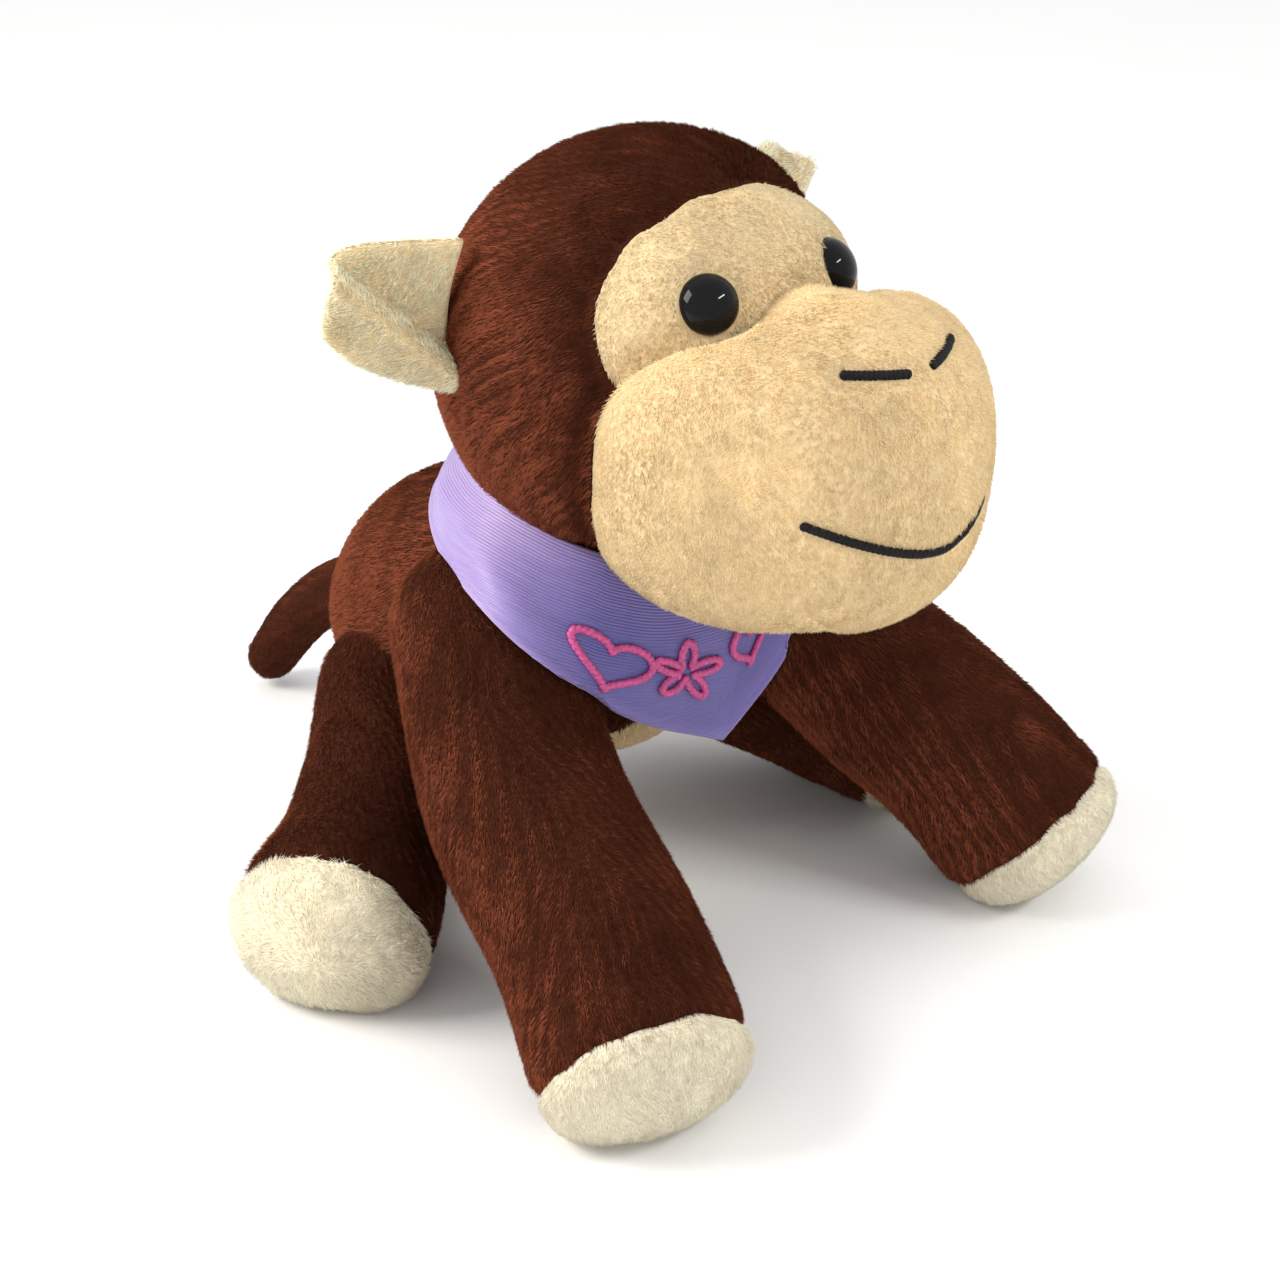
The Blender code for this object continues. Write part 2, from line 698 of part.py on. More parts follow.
def bandana_skin(turn, drop, depth):
    """A point of the bandana: drop runs from its upper edge to its lower one."""
    top = bandana_edge(BANDANA_TOP, turn)
    low = bandana_edge(BANDANA_LOW, turn)
    middle = top.lerp(low, drop)
    outward = Vector((middle.x, (middle.y + 30) * 0.9, 14)).normalized()
    swell = 3.0 * math.sin(math.pi * drop)
    return middle + outward * (swell + depth)


def make_bandana():
    columns, rows = 36, 4
    rings = []
    for drop in [row / (rows - 1) for row in range(rows)]:
        rings.append([bandana_skin(column / columns, drop, BANDANA_THICKNESS) for column in range(columns)])
    for drop in [1 - row / (rows - 1) for row in range(rows)]:
        rings.append([bandana_skin(column / columns, drop, 0.0) for column in range(columns)])
    points = [point for ring in rings for point in ring]
    faces = grid_faces(len(rings), columns)
    last = (len(rings) - 1) * columns
    for column in range(columns):
        after = (column + 1) % columns
        faces.append((last + column, last + after, after, column))
    bandana = mesh_object("bandana", points, faces)
    for word in ("right", "left"):
        arm = Limb(ARM_PATHS[word], ARM_RADII, LIMB_TIP)
        combine(bandana, arm.sweep("arm_room", "X", ARM_SWING, 0.7))
    combine(bandana, muzzle_sweep("muzzle_room"))
    combine(bandana, head_solid("head_room", -HEAD_PLAY))
    keep_largest(bandana)
    finish(bandana, "bandana", material("satin", LAVENDER, 0.35))


def make_embroidery():
    """One raised pink line of waves across the chest flap."""
    lift = BANDANA_THICKNESS + 0.6 + GAP
    points = []
    for step in range(25):
        across = 2 * step / 24 - 1
        drop = 0.42 - 0.14 * math.cos(math.tau * 1.5 * across)
        points.append(bandana_skin((0.06 * across) % 1.0, drop, lift))
    embroidery = thread("embroidery", points, 0.6)
    finish(embroidery, "bandana_embroidery", material("thread_pink", PINK, 0.5))


def make_knot():
    """The knot at the nape with its two short ends."""
    knot = superellipsoid("knot", KNOT_CENTRE, KNOT_HALF, sides=14, rows=8)
    for side in (-1, 1):
        path = [KNOT_CENTRE + Vector((side * x, y, z)) for x, y, z in KNOT_END]
        end = Limb(path, KNOT_END_RADII, 1.2, sides=8, steps=5, floor=-100)
        combine(knot, end.solid("end"), "UNION")
    finish(keep_largest(knot), "bandana_knot", material("satin", LAVENDER, 0.35))


def main():
    clear_scene()
    make_head()
    make_face_threads()
    for side, word in ((-1, "right"), (1, "left")):
        make_eye(side, word)
        make_ear(side, word)
    make_neck()
    make_torso()
    for word in ("right", "left"):
        make_limb("arm", word, ARM_PATHS[word], ARM_RADII, "paw")
        make_limb("leg", word, LEG_PATHS[word], LEG_RADII, "foot")
    make_tail()
    make_bandana()
    make_embroidery()
    make_knot()


main()
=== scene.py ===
import json
import math

import bpy
import numpy as np
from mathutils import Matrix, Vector
from mathutils.bvhtree import BVHTree


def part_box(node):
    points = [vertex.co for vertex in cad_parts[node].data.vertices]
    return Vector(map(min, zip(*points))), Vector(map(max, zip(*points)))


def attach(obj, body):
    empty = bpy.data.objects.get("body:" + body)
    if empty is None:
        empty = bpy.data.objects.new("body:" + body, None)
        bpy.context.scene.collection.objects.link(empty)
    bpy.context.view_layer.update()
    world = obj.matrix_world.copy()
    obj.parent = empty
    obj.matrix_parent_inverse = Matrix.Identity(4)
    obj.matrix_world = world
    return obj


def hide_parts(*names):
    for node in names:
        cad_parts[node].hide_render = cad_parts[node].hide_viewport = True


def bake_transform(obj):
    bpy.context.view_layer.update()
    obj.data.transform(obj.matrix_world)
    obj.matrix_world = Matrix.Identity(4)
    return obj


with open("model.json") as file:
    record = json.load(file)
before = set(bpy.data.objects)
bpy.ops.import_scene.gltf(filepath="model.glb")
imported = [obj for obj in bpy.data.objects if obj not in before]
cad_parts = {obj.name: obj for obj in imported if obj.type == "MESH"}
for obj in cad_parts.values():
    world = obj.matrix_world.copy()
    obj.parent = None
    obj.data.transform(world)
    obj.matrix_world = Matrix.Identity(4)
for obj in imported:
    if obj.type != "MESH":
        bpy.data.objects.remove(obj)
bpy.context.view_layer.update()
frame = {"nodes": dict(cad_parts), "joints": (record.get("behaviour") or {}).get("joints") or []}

MM = 0.001
UP = np.array([0.0, 0.0, 1.0])
JOINTS = {joint["name"]: np.array(joint["pos_m"]) / MM for joint in frame["joints"]}


def low_corner(node):
    return np.array(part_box(node)[0]) / MM


def high_corner(node):
    return np.array(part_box(node)[1]) / MM


def unit(vector):
    vector = np.asarray(vector, float)
    return vector / np.maximum(np.linalg.norm(vector, axis=-1, keepdims=True), 1e-9)


# Cloth
CLOTH = 1.2
SKIN_VOXEL = 1.9
FLOOR_GAP = 0.4

# Head, from the frame's ball, mask and muzzle
HEAD_CENTRE = JOINTS["head_nod"]
HEAD_RADIUS = high_corner("head_hood")[0] - 0.6
MASK_WIDTH = high_corner("face_mask")[0]
MASK_TOP = high_corner("face_mask")[2]
MASK_HEIGHT = 25.0
MUZZLE_WIDE = high_corner("muzzle")[0] + 1.6
MUZZLE_DEEP = 41.5
MUZZLE_TOP = 35.2
MUZZLE_BOTTOM = 29.2
MUZZLE_TAPER = 0.12
MUZZLE_PLAN = 1.94
MUZZLE_PROFILE = 2.7
MUZZLE_CENTRE = low_corner("muzzle") * (0, 1, 1) + (0, MUZZLE_DEEP - 0.6, 31.0)

# Body tubes: centre lines and radii
TORSO_PATH = [(0, -16, 63), (0, 2, 56), (0, 18, 50)]
TORSO_RADII = [31, 33.5, 33.5]
NECK_PATH = [(0, -27, 86), (0, -22, 78)]
NECK_RADII = [26, 27]
ARM_RADII = [19, 19.5, 19.5, 20.3]
LEG_RADII = [15, 15.8, 17.6, 20.2]
LIMB_DOME = 34.0
LIMBS = {
    "arm_right": ([JOINTS["arm_right_swing"], (-46, -48, 44), (-55, -77, 28.5), (-62.2, -96.3, 14.8)],
                  ARM_RADII),
    "arm_left": ([JOINTS["arm_left_swing"], (45, -58, 46), (54, -80, 30), (60, -94, 15.5)], ARM_RADII),
    "leg_right": ([JOINTS["leg_right_turn"], (-47, 2, 28.5), (-61.5, -11.5, 22), (-77, -21.6, 17.2)],
                  LEG_RADII),
    "leg_left": ([JOINTS["leg_left_turn"], (49, -1, 28), (64, -23, 21), (73, -45, 17.6)], LEG_RADII),
}
LIMB_ENDS = {"arm_right": "paw", "arm_left": "paw", "leg_right": "foot", "leg_left": "foot"}
LIMB_TIP = 12.5
BELLY_HALF = (19.0, 42.0)
TAIL_PATH = [JOINTS["tail_lift"] - (0, 4, -1), (0, 70, 40), (0, 90, 25), (0, 105, 8.5)]
TAIL_RADII = [6.4, 6.9, 6.9, 6.2]


# ---------------------------------------------------------------- curves and fields

def smooth_path(points, reach):
    """Points of the Catmull-Rom curve through the given ones, reach from 0 to 1."""
    points = np.array([np.asarray(p, float) for p in points])
    padded = np.vstack([2 * points[0] - points[1], points, 2 * points[-1] - points[-2]])
    place = np.clip(np.asarray(reach, float), 0, 1) * (len(points) - 1)
    index = np.minimum(place.astype(int), len(points) - 2)
    t = (place - index)[..., None]
    a, b, c, d = (padded[index + k] for k in range(4))
    return 0.5 * (2 * b + (c - a) * t + (2 * a - 5 * b + 4 * c - d) * t**2 + (3 * b - a - 3 * c + d) * t**3)


def smooth_value(values, reach):
    return smooth_path([(value, 0, 0) for value in values], reach)[..., 0]


def tube_field(points, path, radii, samples=40):
    """Distance outside a tube with round ends, negative inside."""
    reach = np.linspace(0, 1, samples)
    best = np.full(len(points), 1e9)
    for centre, radius in zip(smooth_path(path, reach), smooth_value(radii, reach)):
        best = np.minimum(best, np.linalg.norm(points - centre, axis=1) - radius)
    return best


def soft_min(a, b, fillet):
    share = np.clip(0.5 + 0.5 * (b - a) / fillet, 0, 1)
    return b + (a - b) * share - fillet * share * (1 - share)


def soft_max(a, b, fillet):
    return -soft_min(-a, -b, fillet)


def waves(points, scale, seed):
    """Smooth noise of about this wavelength in millimetres, roughly from -1 to 1."""
    random = np.random.default_rng(seed)
    total = np.zeros(len(points))
    for _ in range(7):
        aim = unit(random.normal(size=3)) * random.uniform(0.7, 1.5) * math.tau / scale
        total += np.sin(points @ aim + random.uniform(0, math.tau))
    return total / 2.6


def limb_axis(name):
    """The direction in which a limb's end faces."""
    path = LIMBS[name][0]
    return unit(smooth_path(path, [1.0])[0] - smooth_path(path, [0.93])[0])


def limb_field(points, name):
    """A tube whose end is cut by a low dome, part of a larger ball."""
    path, radii = LIMBS[name]
    seam = np.asarray(path[-1], float)
    axis = limb_axis(name)
    tube = tube_field(points, list(path) + [seam + axis * radii[-1]], radii + [radii[-1]])
    dome = np.linalg.norm(points - (seam + axis * (LIMB_TIP - LIMB_DOME)), axis=1) - LIMB_DOME
    dome = np.where((points - seam) @ axis > -12, dome, -LIMB_DOME)
    return soft_max(tube, dome, 5)


def torso_field(points):
    torso = tube_field(points, TORSO_PATH, TORSO_RADII)
    return soft_min(torso, tube_field(points, NECK_PATH, NECK_RADII), 10)


def head_ball(points):
    return np.linalg.norm(points - HEAD_CENTRE, axis=1) - HEAD_RADIUS


def body_field(points):
    """The whole stuffed body: limbs run softly into the torso, and the floor flattens it."""
    field = torso_field(points)
    for name in LIMBS:
        field = soft_min(field, limb_field(points, name), 9 if name.startswith("arm") else 4)
    field = soft_max(field, FLOOR_GAP - points[:, 2], 3)
    return soft_max(field, 1.5 - np.minimum(head_ball(points), muzzle_sweep(points)), 1)


def muzzle_field(points):
    """A full pillow, a little wider above, whose upper edge is drawn down to the face beside the nose."""
    local = points - MUZZLE_CENTRE
    wide = np.abs(local[:, 0])
    ahead = np.maximum(head_ball(points), 0)
    tent = 0.2 * (1 - np.exp(-((wide / 11) ** 2))) * (1 - 0.35 * np.clip((wide - 20) / 15, 0, 1))
    above = local[:, 2] > 0
    squeeze = np.where(above, 1 - tent * np.exp(-ahead / 8), 1.0)
    tall = np.where(above, MUZZLE_TOP, MUZZLE_BOTTOM) * squeeze
    taper = np.clip(1 + MUZZLE_TAPER * local[:, 2] / MUZZLE_TOP, 0.8, 1.2)
    flat = (wide / (MUZZLE_WIDE * taper)) ** MUZZLE_PLAN + np.abs(local[:, 1] / MUZZLE_DEEP) ** MUZZLE_PLAN
    total = flat ** (MUZZLE_PROFILE / MUZZLE_PLAN) + np.abs(local[:, 2] / tall) ** MUZZLE_PROFILE
    return (total ** (1 / MUZZLE_PROFILE) - 1) * MUZZLE_WIDE


def muzzle_sweep(points):
    """The space that the muzzle passes through as the neck turns and the head nods."""
    field = np.full(len(points), 50.0)
    near = (points[:, 2] > 60) & (points[:, 1] < 5)
    local = points[near] - HEAD_CENTRE
    for turn in np.radians((-20, -10, 0, 10, 20)):
        x = local[:, 0] * math.cos(turn) + local[:, 1] * math.sin(turn)
        y = local[:, 1] * math.cos(turn) - local[:, 0] * math.sin(turn)
        for nod in np.radians((0, 5)):
            z = local[:, 2] * math.cos(nod) - y * math.sin(nod)
            ahead = y * math.cos(nod) + local[:, 2] * math.sin(nod)
            turned = np.stack([x, ahead, z], axis=1) + HEAD_CENTRE
            field[near] = np.minimum(field[near], muzzle_field(turned))
    return field


def head_field(points):
    return soft_min(head_ball(points), muzzle_field(points), 1.6)


def slope(field, points, step=0.05):
    """The gradient of a field at each point."""
    parts = []
    for axis in np.eye(3) * step:
        parts.append((field(points + axis) - field(points - axis)) / (2 * step))
    return np.stack(parts, axis=1)


def onto(field, points, level=0.0, rounds=1, most=3.0):
    """Points moved to where the field has this level."""
    for _ in range(rounds):
        rise = slope(field, points)
        move = rise * ((field(points) - level) / np.maximum(np.sum(rise**2, axis=1), 1e-6))[:, None]
        length = np.linalg.norm(move, axis=1, keepdims=True)
        points = points - move * np.minimum(1, most / np.maximum(length, 1e-9))
    return points


# ---------------------------------------------------------------- meshes

class Skin:
    """A surface of quads and triangles, in millimetres."""

    def __init__(self, points, faces):
        self.points = np.asarray(points, float)
        self.faces = [tuple(face) for face in faces]

    def edges(self):
        pairs = set()
        for face in self.faces:
            for here, there in zip(face, face[1:] + face[:1]):
                pairs.add((min(here, there), max(here, there)))
        return np.array(sorted(pairs))

    def triangles(self):
        found = []
        for face in self.faces:
            for index in range(1, len(face) - 1):
                found.append((face[0], face[index], face[index + 1]))
        return np.array(found)

    def normals(self):
        corners = self.triangles()
        a, b, c = (self.points[corners[:, k]] for k in range(3))
        weight = np.cross(b - a, c - a)
        total = np.zeros_like(self.points)
        for k in range(3):
            np.add.at(total, corners[:, k], weight)
        return unit(total)

    def relax(self, rounds, share=0.5, pinned=None):
        """Moves each point towards the middle of its neighbours."""
        pairs = self.edges()
        count = np.bincount(pairs.ravel(), minlength=len(self.points))[:, None]
        for _ in range(rounds):
            total = np.zeros_like(self.points)
            np.add.at(total, pairs[:, 0], self.points[pairs[:, 1]])
            np.add.at(total, pairs[:, 1], self.points[pairs[:, 0]])
            moved = self.points + share * (total / np.maximum(count, 1) - self.points)
            self.points = moved if pinned is None else np.where(pinned[:, None], self.points, moved)

    def part(self, chosen):
        """The faces chosen by a list of booleans, as a skin of their own."""
        faces = [face for face, keep in zip(self.faces, chosen) if keep]
        used = sorted({index for face in faces for index in face})
        place = {index: new for new, index in enumerate(used)}
        return Skin(self.points[used], [tuple(place[index] for index in face) for face in faces])

    def thick(self, depth):
        """The same cloth with an inner face this deep, closed round its edges."""
        count = len(self.points)
        inner = self.points - self.normals() * depth
        faces = list(self.faces) + [tuple(index + count for index in face[::-1]) for face in self.faces]
        seen = {}
        for face in self.faces:
            for here, there in zip(face, face[1:] + face[:1]):
                seen[(here, there)] = True
        for here, there in seen:
            if (there, here) not in seen:
                faces.append((there, here, here + count, there + count))
        return Skin(np.vstack([self.points, inner]), faces)


def linked(name, data):
    """A new object in the scene."""
    made = bpy.data.objects.new(name, data)
    bpy.context.scene.collection.objects.link(made)
    return made


def halves(skin):
    """The right and left halves of a skin, each with its word."""
    middles = np.array([skin.points[list(face)].mean(axis=0) for face in skin.faces])
    return ("right", skin.part(middles[:, 0] < 0)), ("left", skin.part(middles[:, 0] >= 0))


def mesh_object(name, skin, *materials):
    mesh = bpy.data.meshes.new(name)
    mesh.from_pydata(skin.points * MM, [], skin.faces)
    mesh.update()
    for look in materials:
        mesh.materials.append(look)
    mesh.shade_smooth()
    return linked(name, mesh)


def skin_of(item):
    """The evaluated mesh of an object, as a skin."""
    graph = bpy.context.evaluated_depsgraph_get()
    mesh = bpy.data.meshes.new_from_object(item.evaluated_get(graph))
    points = np.zeros(len(mesh.vertices) * 3)
    mesh.vertices.foreach_get("co", points)
    faces = [tuple(face.vertices) for face in mesh.polygons]
    bpy.data.meshes.remove(mesh)
    return Skin(points.reshape(-1, 3) / MM, faces)


def turned_faces(sides, rings):
    """The faces of a closed turned solid: a tip, these rings of points, and another tip."""
    last = 1 + sides * rings
    faces = []
    for side in range(sides):
        after = (side + 1) % sides
        faces.append((0, 1 + side, 1 + after))
        faces.append((last, last - sides + after, last - sides + side))
        for row in range(rings - 1):
            low = 1 + row * sides
            faces.append((low + side, low + sides + side, low + sides + after, low + after))
    return faces


def ball_skin(centre, radius, sides=20, rows=12):
    points = [np.array(centre) + (0, 0, radius)]
    for row in range(1, rows):
        polar = math.pi * row / rows
        for side in range(sides):
            around = math.tau * side / sides
            ray = (math.sin(polar) * math.cos(around), math.sin(polar) * math.sin(around), math.cos(polar))
            points.append(np.array(centre) + np.array(ray) * radius)
    points.append(np.array(centre) - (0, 0, radius))
    return Skin(points, turned_faces(sides, rows - 1))


def joined(skins):
    points = []
    faces = []
    for skin in skins:
        base = sum(len(group) for group in points)
        faces += [tuple(index + base for index in face) for face in skin.faces]
        points.append(skin.points)
    return Skin(np.vstack(points), faces)


def wrapped(balls, field, voxel):
    """An even mesh round these balls, drawn onto the level where the field is nothing."""
    item = mesh_object("wrap", joined([ball_skin(centre, radius) for centre, radius in balls]))
    remesh = item.modifiers.new("even", "REMESH")
    remesh.mode = "VOXEL"
    remesh.voxel_size = voxel * MM
    skin = skin_of(item)
    bpy.data.objects.remove(item)
    for rounds in (3, 2, 1):
        skin.points = onto(field, skin.points, rounds=rounds)
        skin.relax(2)
    skin.points = onto(field, skin.points, rounds=3)
    return skin


def finer(skin):
    """The skin with one level of subdivision."""
    item = mesh_object("finer", skin)
    item.modifiers.new("finer", "SUBSURF").levels = 1
    result = skin_of(item)
    bpy.data.objects.remove(item)
    return result


def stuffed(skin, pinned, pressure=2.5, slack=0.035, most=2.2, frames=18):
    """The skin after a cloth simulation: slack cloth, held at its seams, pressed out by the stuffing."""
    grow = 10
    item = mesh_object("stuffed", Skin(skin.points * grow, skin.faces))
    group = item.vertex_groups.new(name="seams")
    group.add([int(index) for index in np.nonzero(pinned)[0]], 1.0, "REPLACE")
    cloth = item.modifiers.new("cloth", "CLOTH")
    settings = cloth.settings
    settings.quality = 4
    settings.mass = 0.3
    settings.tension_stiffness = 12
    settings.compression_stiffness = 12
    settings.shear_stiffness = 6
    settings.bending_stiffness = 0.4
    settings.use_pressure = True
    settings.uniform_pressure_force = pressure
    settings.shrink_min = -slack
    settings.vertex_group_mass = "seams"
    settings.effector_weights.gravity = 0
    cloth.collision_settings.use_collision = False
    cloth.collision_settings.use_self_collision = False
    cloth.point_cache.frame_start = 1
    cloth.point_cache.frame_end = frames
    scene = bpy.context.scene
    for step in range(1, frames + 1):
        scene.frame_set(step)
    result = skin_of(item)
    bpy.data.objects.remove(item)
    scene.frame_set(1)
    move = result.points / grow - skin.points
    length = np.linalg.norm(move, axis=1, keepdims=True)
    move *= np.minimum(1, most / np.maximum(length, 1e-9))
    return Skin(skin.points + move, skin.faces)


def divided(skin, level):
    """The skin with its faces cut along a seam line, so that each lies on one side of it."""
    value = level(skin.points)
    value[np.abs(value) < 0.1] = 0
    value = value.tolist()
    points = list(skin.points)
    added = {}
    faces = []
    for face in skin.faces:
        levels = [value[index] for index in face]
        if min(levels) >= 0 or max(levels) <= 0:
            faces.append(face)
            continue
        for index in range(1, len(face) - 1):
            corner = (face[0], face[index], face[index + 1])
            sides = {1: [], -1: []}
            for here, there in zip(corner, corner[1:] + corner[:1]):
                for sign, side in sides.items():
                    if value[here] * sign >= 0:
                        side.append(here)
                if value[here] * value[there] < 0:
                    key = (min(here, there), max(here, there))
                    if key not in added:
                        share = value[here] / (value[here] - value[there])
                        added[key] = len(points)
                        points.append(points[here] + share * (points[there] - points[here]))
                    for side in sides.values():
                        side.append(added[key])
            faces += [tuple(side) for side in sides.values() if len(side) > 2]
    skin.points = np.array(points)
    skin.faces = faces
    return skin


def side_of(skin, level):
    """For each face, whether it is on the positive side of the level."""
    value = level(skin.points).tolist()
    return np.array([sum(value[index] for index in face) > 0 for face in skin.faces])


def cleared(skin, *nodes):
    """The skin moved out wherever its cloth would come through to the filling inside it."""
    for name in nodes:
        node = frame["nodes"][name]
        corners = [tuple(node.matrix_world @ spot.co / MM) for spot in node.data.vertices]
        tree = BVHTree.FromPolygons(corners, [tuple(face.vertices) for face in node.data.polygons])
        for index, point in enumerate(skin.points):
            spot, normal, _, _ = tree.find_nearest(Vector(point), 4.0)
            if spot is None:
                continue
            gap = (Vector(point) - spot).dot(normal)
            if gap < CLOTH + 0.25:
                skin.points[index] = point + np.array(normal) * (CLOTH + 0.25 - gap)
    return skin


def pinched(skin, distance, depth, width):
    """The skin drawn in along a line, from each point's distance to it."""
    skin.points = skin.points - skin.normals() * (depth * np.exp(-((distance / width) ** 2)))[:, None]
    return skin


def line_distance(points, line):
    best = np.full(len(points), 1e9)
    for spot in line:
        best = np.minimum(best, np.linalg.norm(points - spot, axis=1))
    return best


# ---------------------------------------------------------------- materials

def nodes_of(name):
    made = bpy.data.materials.new(name)
    made.use_nodes = True
    tree = made.node_tree
    return made, tree, tree.nodes["Principled BSDF"]


def add(tree, kind, *wires, **values):
    """A node with these values; a wire is an (input, output) pair."""
    node = tree.nodes.new(kind)
    for key, value in values.items():
        if hasattr(node, key):
            setattr(node, key, value)
        else:
            node.inputs[key.replace("_", " ")].default_value = value
    for key, output in wires:
        tree.links.new(output, node.inputs[key])
    return node


def surface(tree, shader, colour, height, strength, distance, **values):
    """Gives a shader this colour, bumps of this height and constant values."""
    tree.links.new(colour, shader.inputs["Base Color"])
    bump = add(tree, "ShaderNodeBump", ("Height", height), Strength=strength, Distance=distance)
    tree.links.new(bump.outputs["Normal"], shader.inputs["Normal"])
    for key, value in values.items():
        shader.inputs[key.replace("_", " ")].default_value = value


def ramp(tree, fac, stops):
    node = tree.nodes.new("ShaderNodeValToRGB")
    elements = node.color_ramp.elements
    while len(elements) < len(stops):
        elements.new(0.5)
    for element, (place, colour) in zip(elements, stops):
        element.position = place
        element.color = (*colour, 1)
    tree.links.new(fac, node.inputs["Fac"])
    return node.outputs["Color"]


def shade(colour, factor):
    return tuple(min(1.0, channel * factor) for channel in colour)


def plush_cloth(name, colour, sheen):
    """The backing under the pile: streaky colour, fine bumps and a soft sheen."""
    made, tree, shader = nodes_of(name)
    place = add(tree, "ShaderNodeTexCoord").outputs["Object"]
    streak = add(tree, "ShaderNodeMapping", ("Vector", place), Scale=(1.0, 1.0, 0.35)).outputs["Vector"]
    broad = add(tree, "ShaderNodeTexNoise", ("Vector", streak), Scale=45.0, Detail=3.0).outputs["Fac"]
    fine = add(tree, "ShaderNodeTexNoise", ("Vector", streak), Scale=900.0, Detail=4.0, Roughness=0.7)
    fine = fine.outputs["Fac"]
    mixed = add(tree, "ShaderNodeMath", (0, broad), (1, fine), operation="ADD")
    half = add(tree, "ShaderNodeMath", (0, mixed.outputs[0]), operation="MULTIPLY")
    half.inputs[1].default_value = 0.5
    stops = [(0.3, shade(colour, 0.45)), (0.5, shade(colour, 0.75)), (0.7, colour)]
    surface(tree, shader, ramp(tree, half.outputs[0], stops), fine, 0.6, 0.0005, Roughness=0.95,
            Specular_IOR_Level=0.05, Sheen_Weight=sheen, Sheen_Roughness=0.5,
            Sheen_Tint=(*shade(colour, 1.6), 1))
    return made


def fibre(name, colour):
    """One shade of pile."""
    made, _, shader = nodes_of(name)
    shader.inputs["Base Color"].default_value = (*colour, 1)
    shader.inputs["Roughness"].default_value = 0.7
    shader.inputs["Sheen Weight"].default_value = 0.03
    shader.inputs["Sheen Roughness"].default_value = 0.4
    shader.inputs["Sheen Tint"].default_value = (*shade(colour, 1.8), 1)
    shader.inputs["Specular IOR Level"].default_value = 0.0
    return made


def fibres(name, colour, factors):
    """The shades of one pile, darkest first."""
    return [fibre(f"{name}_{index}", shade(colour, factor)) for index, factor in enumerate(factors)]


BROWN = (0.062, 0.0175, 0.0088)
CREAM = (0.92, 0.7, 0.4)
MASK = (0.8, 0.65, 0.41)
EAR = (1.0, 0.92, 0.68)
PALE = (0.97, 0.89, 0.7)
PINK = (0.58, 0.08, 0.27)

brown_cloth = plush_cloth("brown_plush", BROWN, 0.05)
cream_cloth = plush_cloth("cream_plush", CREAM, 0.2)
pale_cloth = plush_cloth("pale_plush", PALE, 0.2)
# the brightest brown shades are reached mostly by the painted light on the lit side
brown_pile = fibres("brown_pile", BROWN, (0.45, 0.6, 0.75, 0.9, 1.1, 1.45, 1.95, 2.6, 3.5, 4.8))
cream_pile = fibres("cream_pile", CREAM, (0.82, 0.88, 0.94, 1.0, 1.05, 1.1))
ear_pile = fibres("ear_pile", EAR, (0.8, 0.87, 0.94, 1.0, 1.06, 1.12))
mask_pile = fibres("mask_pile", MASK, (0.82, 0.88, 0.94, 1.0, 1.05, 1.1))
pale_pile = fibres("pale_pile", PALE, (0.84, 0.9, 0.95, 1.0, 1.05, 1.1))

# The satin ramp: blue is the painted shade of the hollow, lilac the painted light at the collar, side and
# hem; slub noise also moves along it
SATIN_SHADE_BLUE = (0.11, 0.1, 0.34)
SATIN_MIDDLE = (0.22, 0.17, 0.44)
SATIN_LIT_LILAC = (0.47, 0.34, 0.62)
RIB_WIDTH = 0.62


def satin_cloth():
    """Ribbed satin: fine ribs round the neck, a soft shine and thread-to-thread colour, with painted light
    and shade from the cloth attribute's third channel.
    """
    made, tree, shader = nodes_of("satin_ribs")
    cloth = add(tree, "ShaderNodeAttribute", attribute_name="cloth").outputs["Vector"]
    split = add(tree, "ShaderNodeSeparateXYZ", (0, cloth))
    ribs = add(tree, "ShaderNodeMath", (0, split.outputs["Y"]), operation="MULTIPLY")
    ribs.inputs[1].default_value = math.tau / RIB_WIDTH
    wave = add(tree, "ShaderNodeMath", (0, ribs.outputs[0]), operation="SINE")
    stretch = add(tree, "ShaderNodeMapping", ("Vector", cloth), Scale=(0.12, 2.2, 1))
    slub = add(tree, "ShaderNodeTexNoise", ("Vector", stretch.outputs["Vector"]), Scale=1.0, Detail=3.0)
    slub = slub.outputs["Fac"]
    # the ramp's place: slub noise plus the painted light and shade from the third channel
    blend = add(tree, "ShaderNodeMath", (0, slub), (2, split.outputs["Z"]), operation="MULTIPLY_ADD")
    blend.inputs[1].default_value = 0.3
    stops = [(0.15, SATIN_SHADE_BLUE), (0.55, SATIN_MIDDLE), (0.95, SATIN_LIT_LILAC)]
    relief = add(tree, "ShaderNodeMath", (0, wave.outputs[0]), (2, slub), operation="MULTIPLY_ADD")
    relief.inputs[1].default_value = 0.5
    surface(tree, shader, ramp(tree, blend.outputs[0], stops), relief.outputs[0], 0.5, 0.00022,
            Roughness=0.42, Sheen_Weight=0.5, Sheen_Roughness=0.35, Sheen_Tint=(0.8, 0.72, 1.0, 1))
    return made


def speckled(name, colour, roughness, scale, contrast=0.25, bump=0.3, **values):
    """A plain material with fine variation in its colour and its surface."""
    made, tree, shader = nodes_of(name)
    place = add(tree, "ShaderNodeTexCoord").outputs["Object"]
    grain = add(tree, "ShaderNodeTexNoise", ("Vector", place), Scale=scale, Detail=4.0).outputs["Fac"]
    stops = [(0.3, shade(colour, 1 - contrast)), (0.7, shade(colour, 1 + contrast))]
    surface(tree, shader, ramp(tree, grain, stops), grain, bump, 0.0002, Roughness=roughness, **values)
    return made


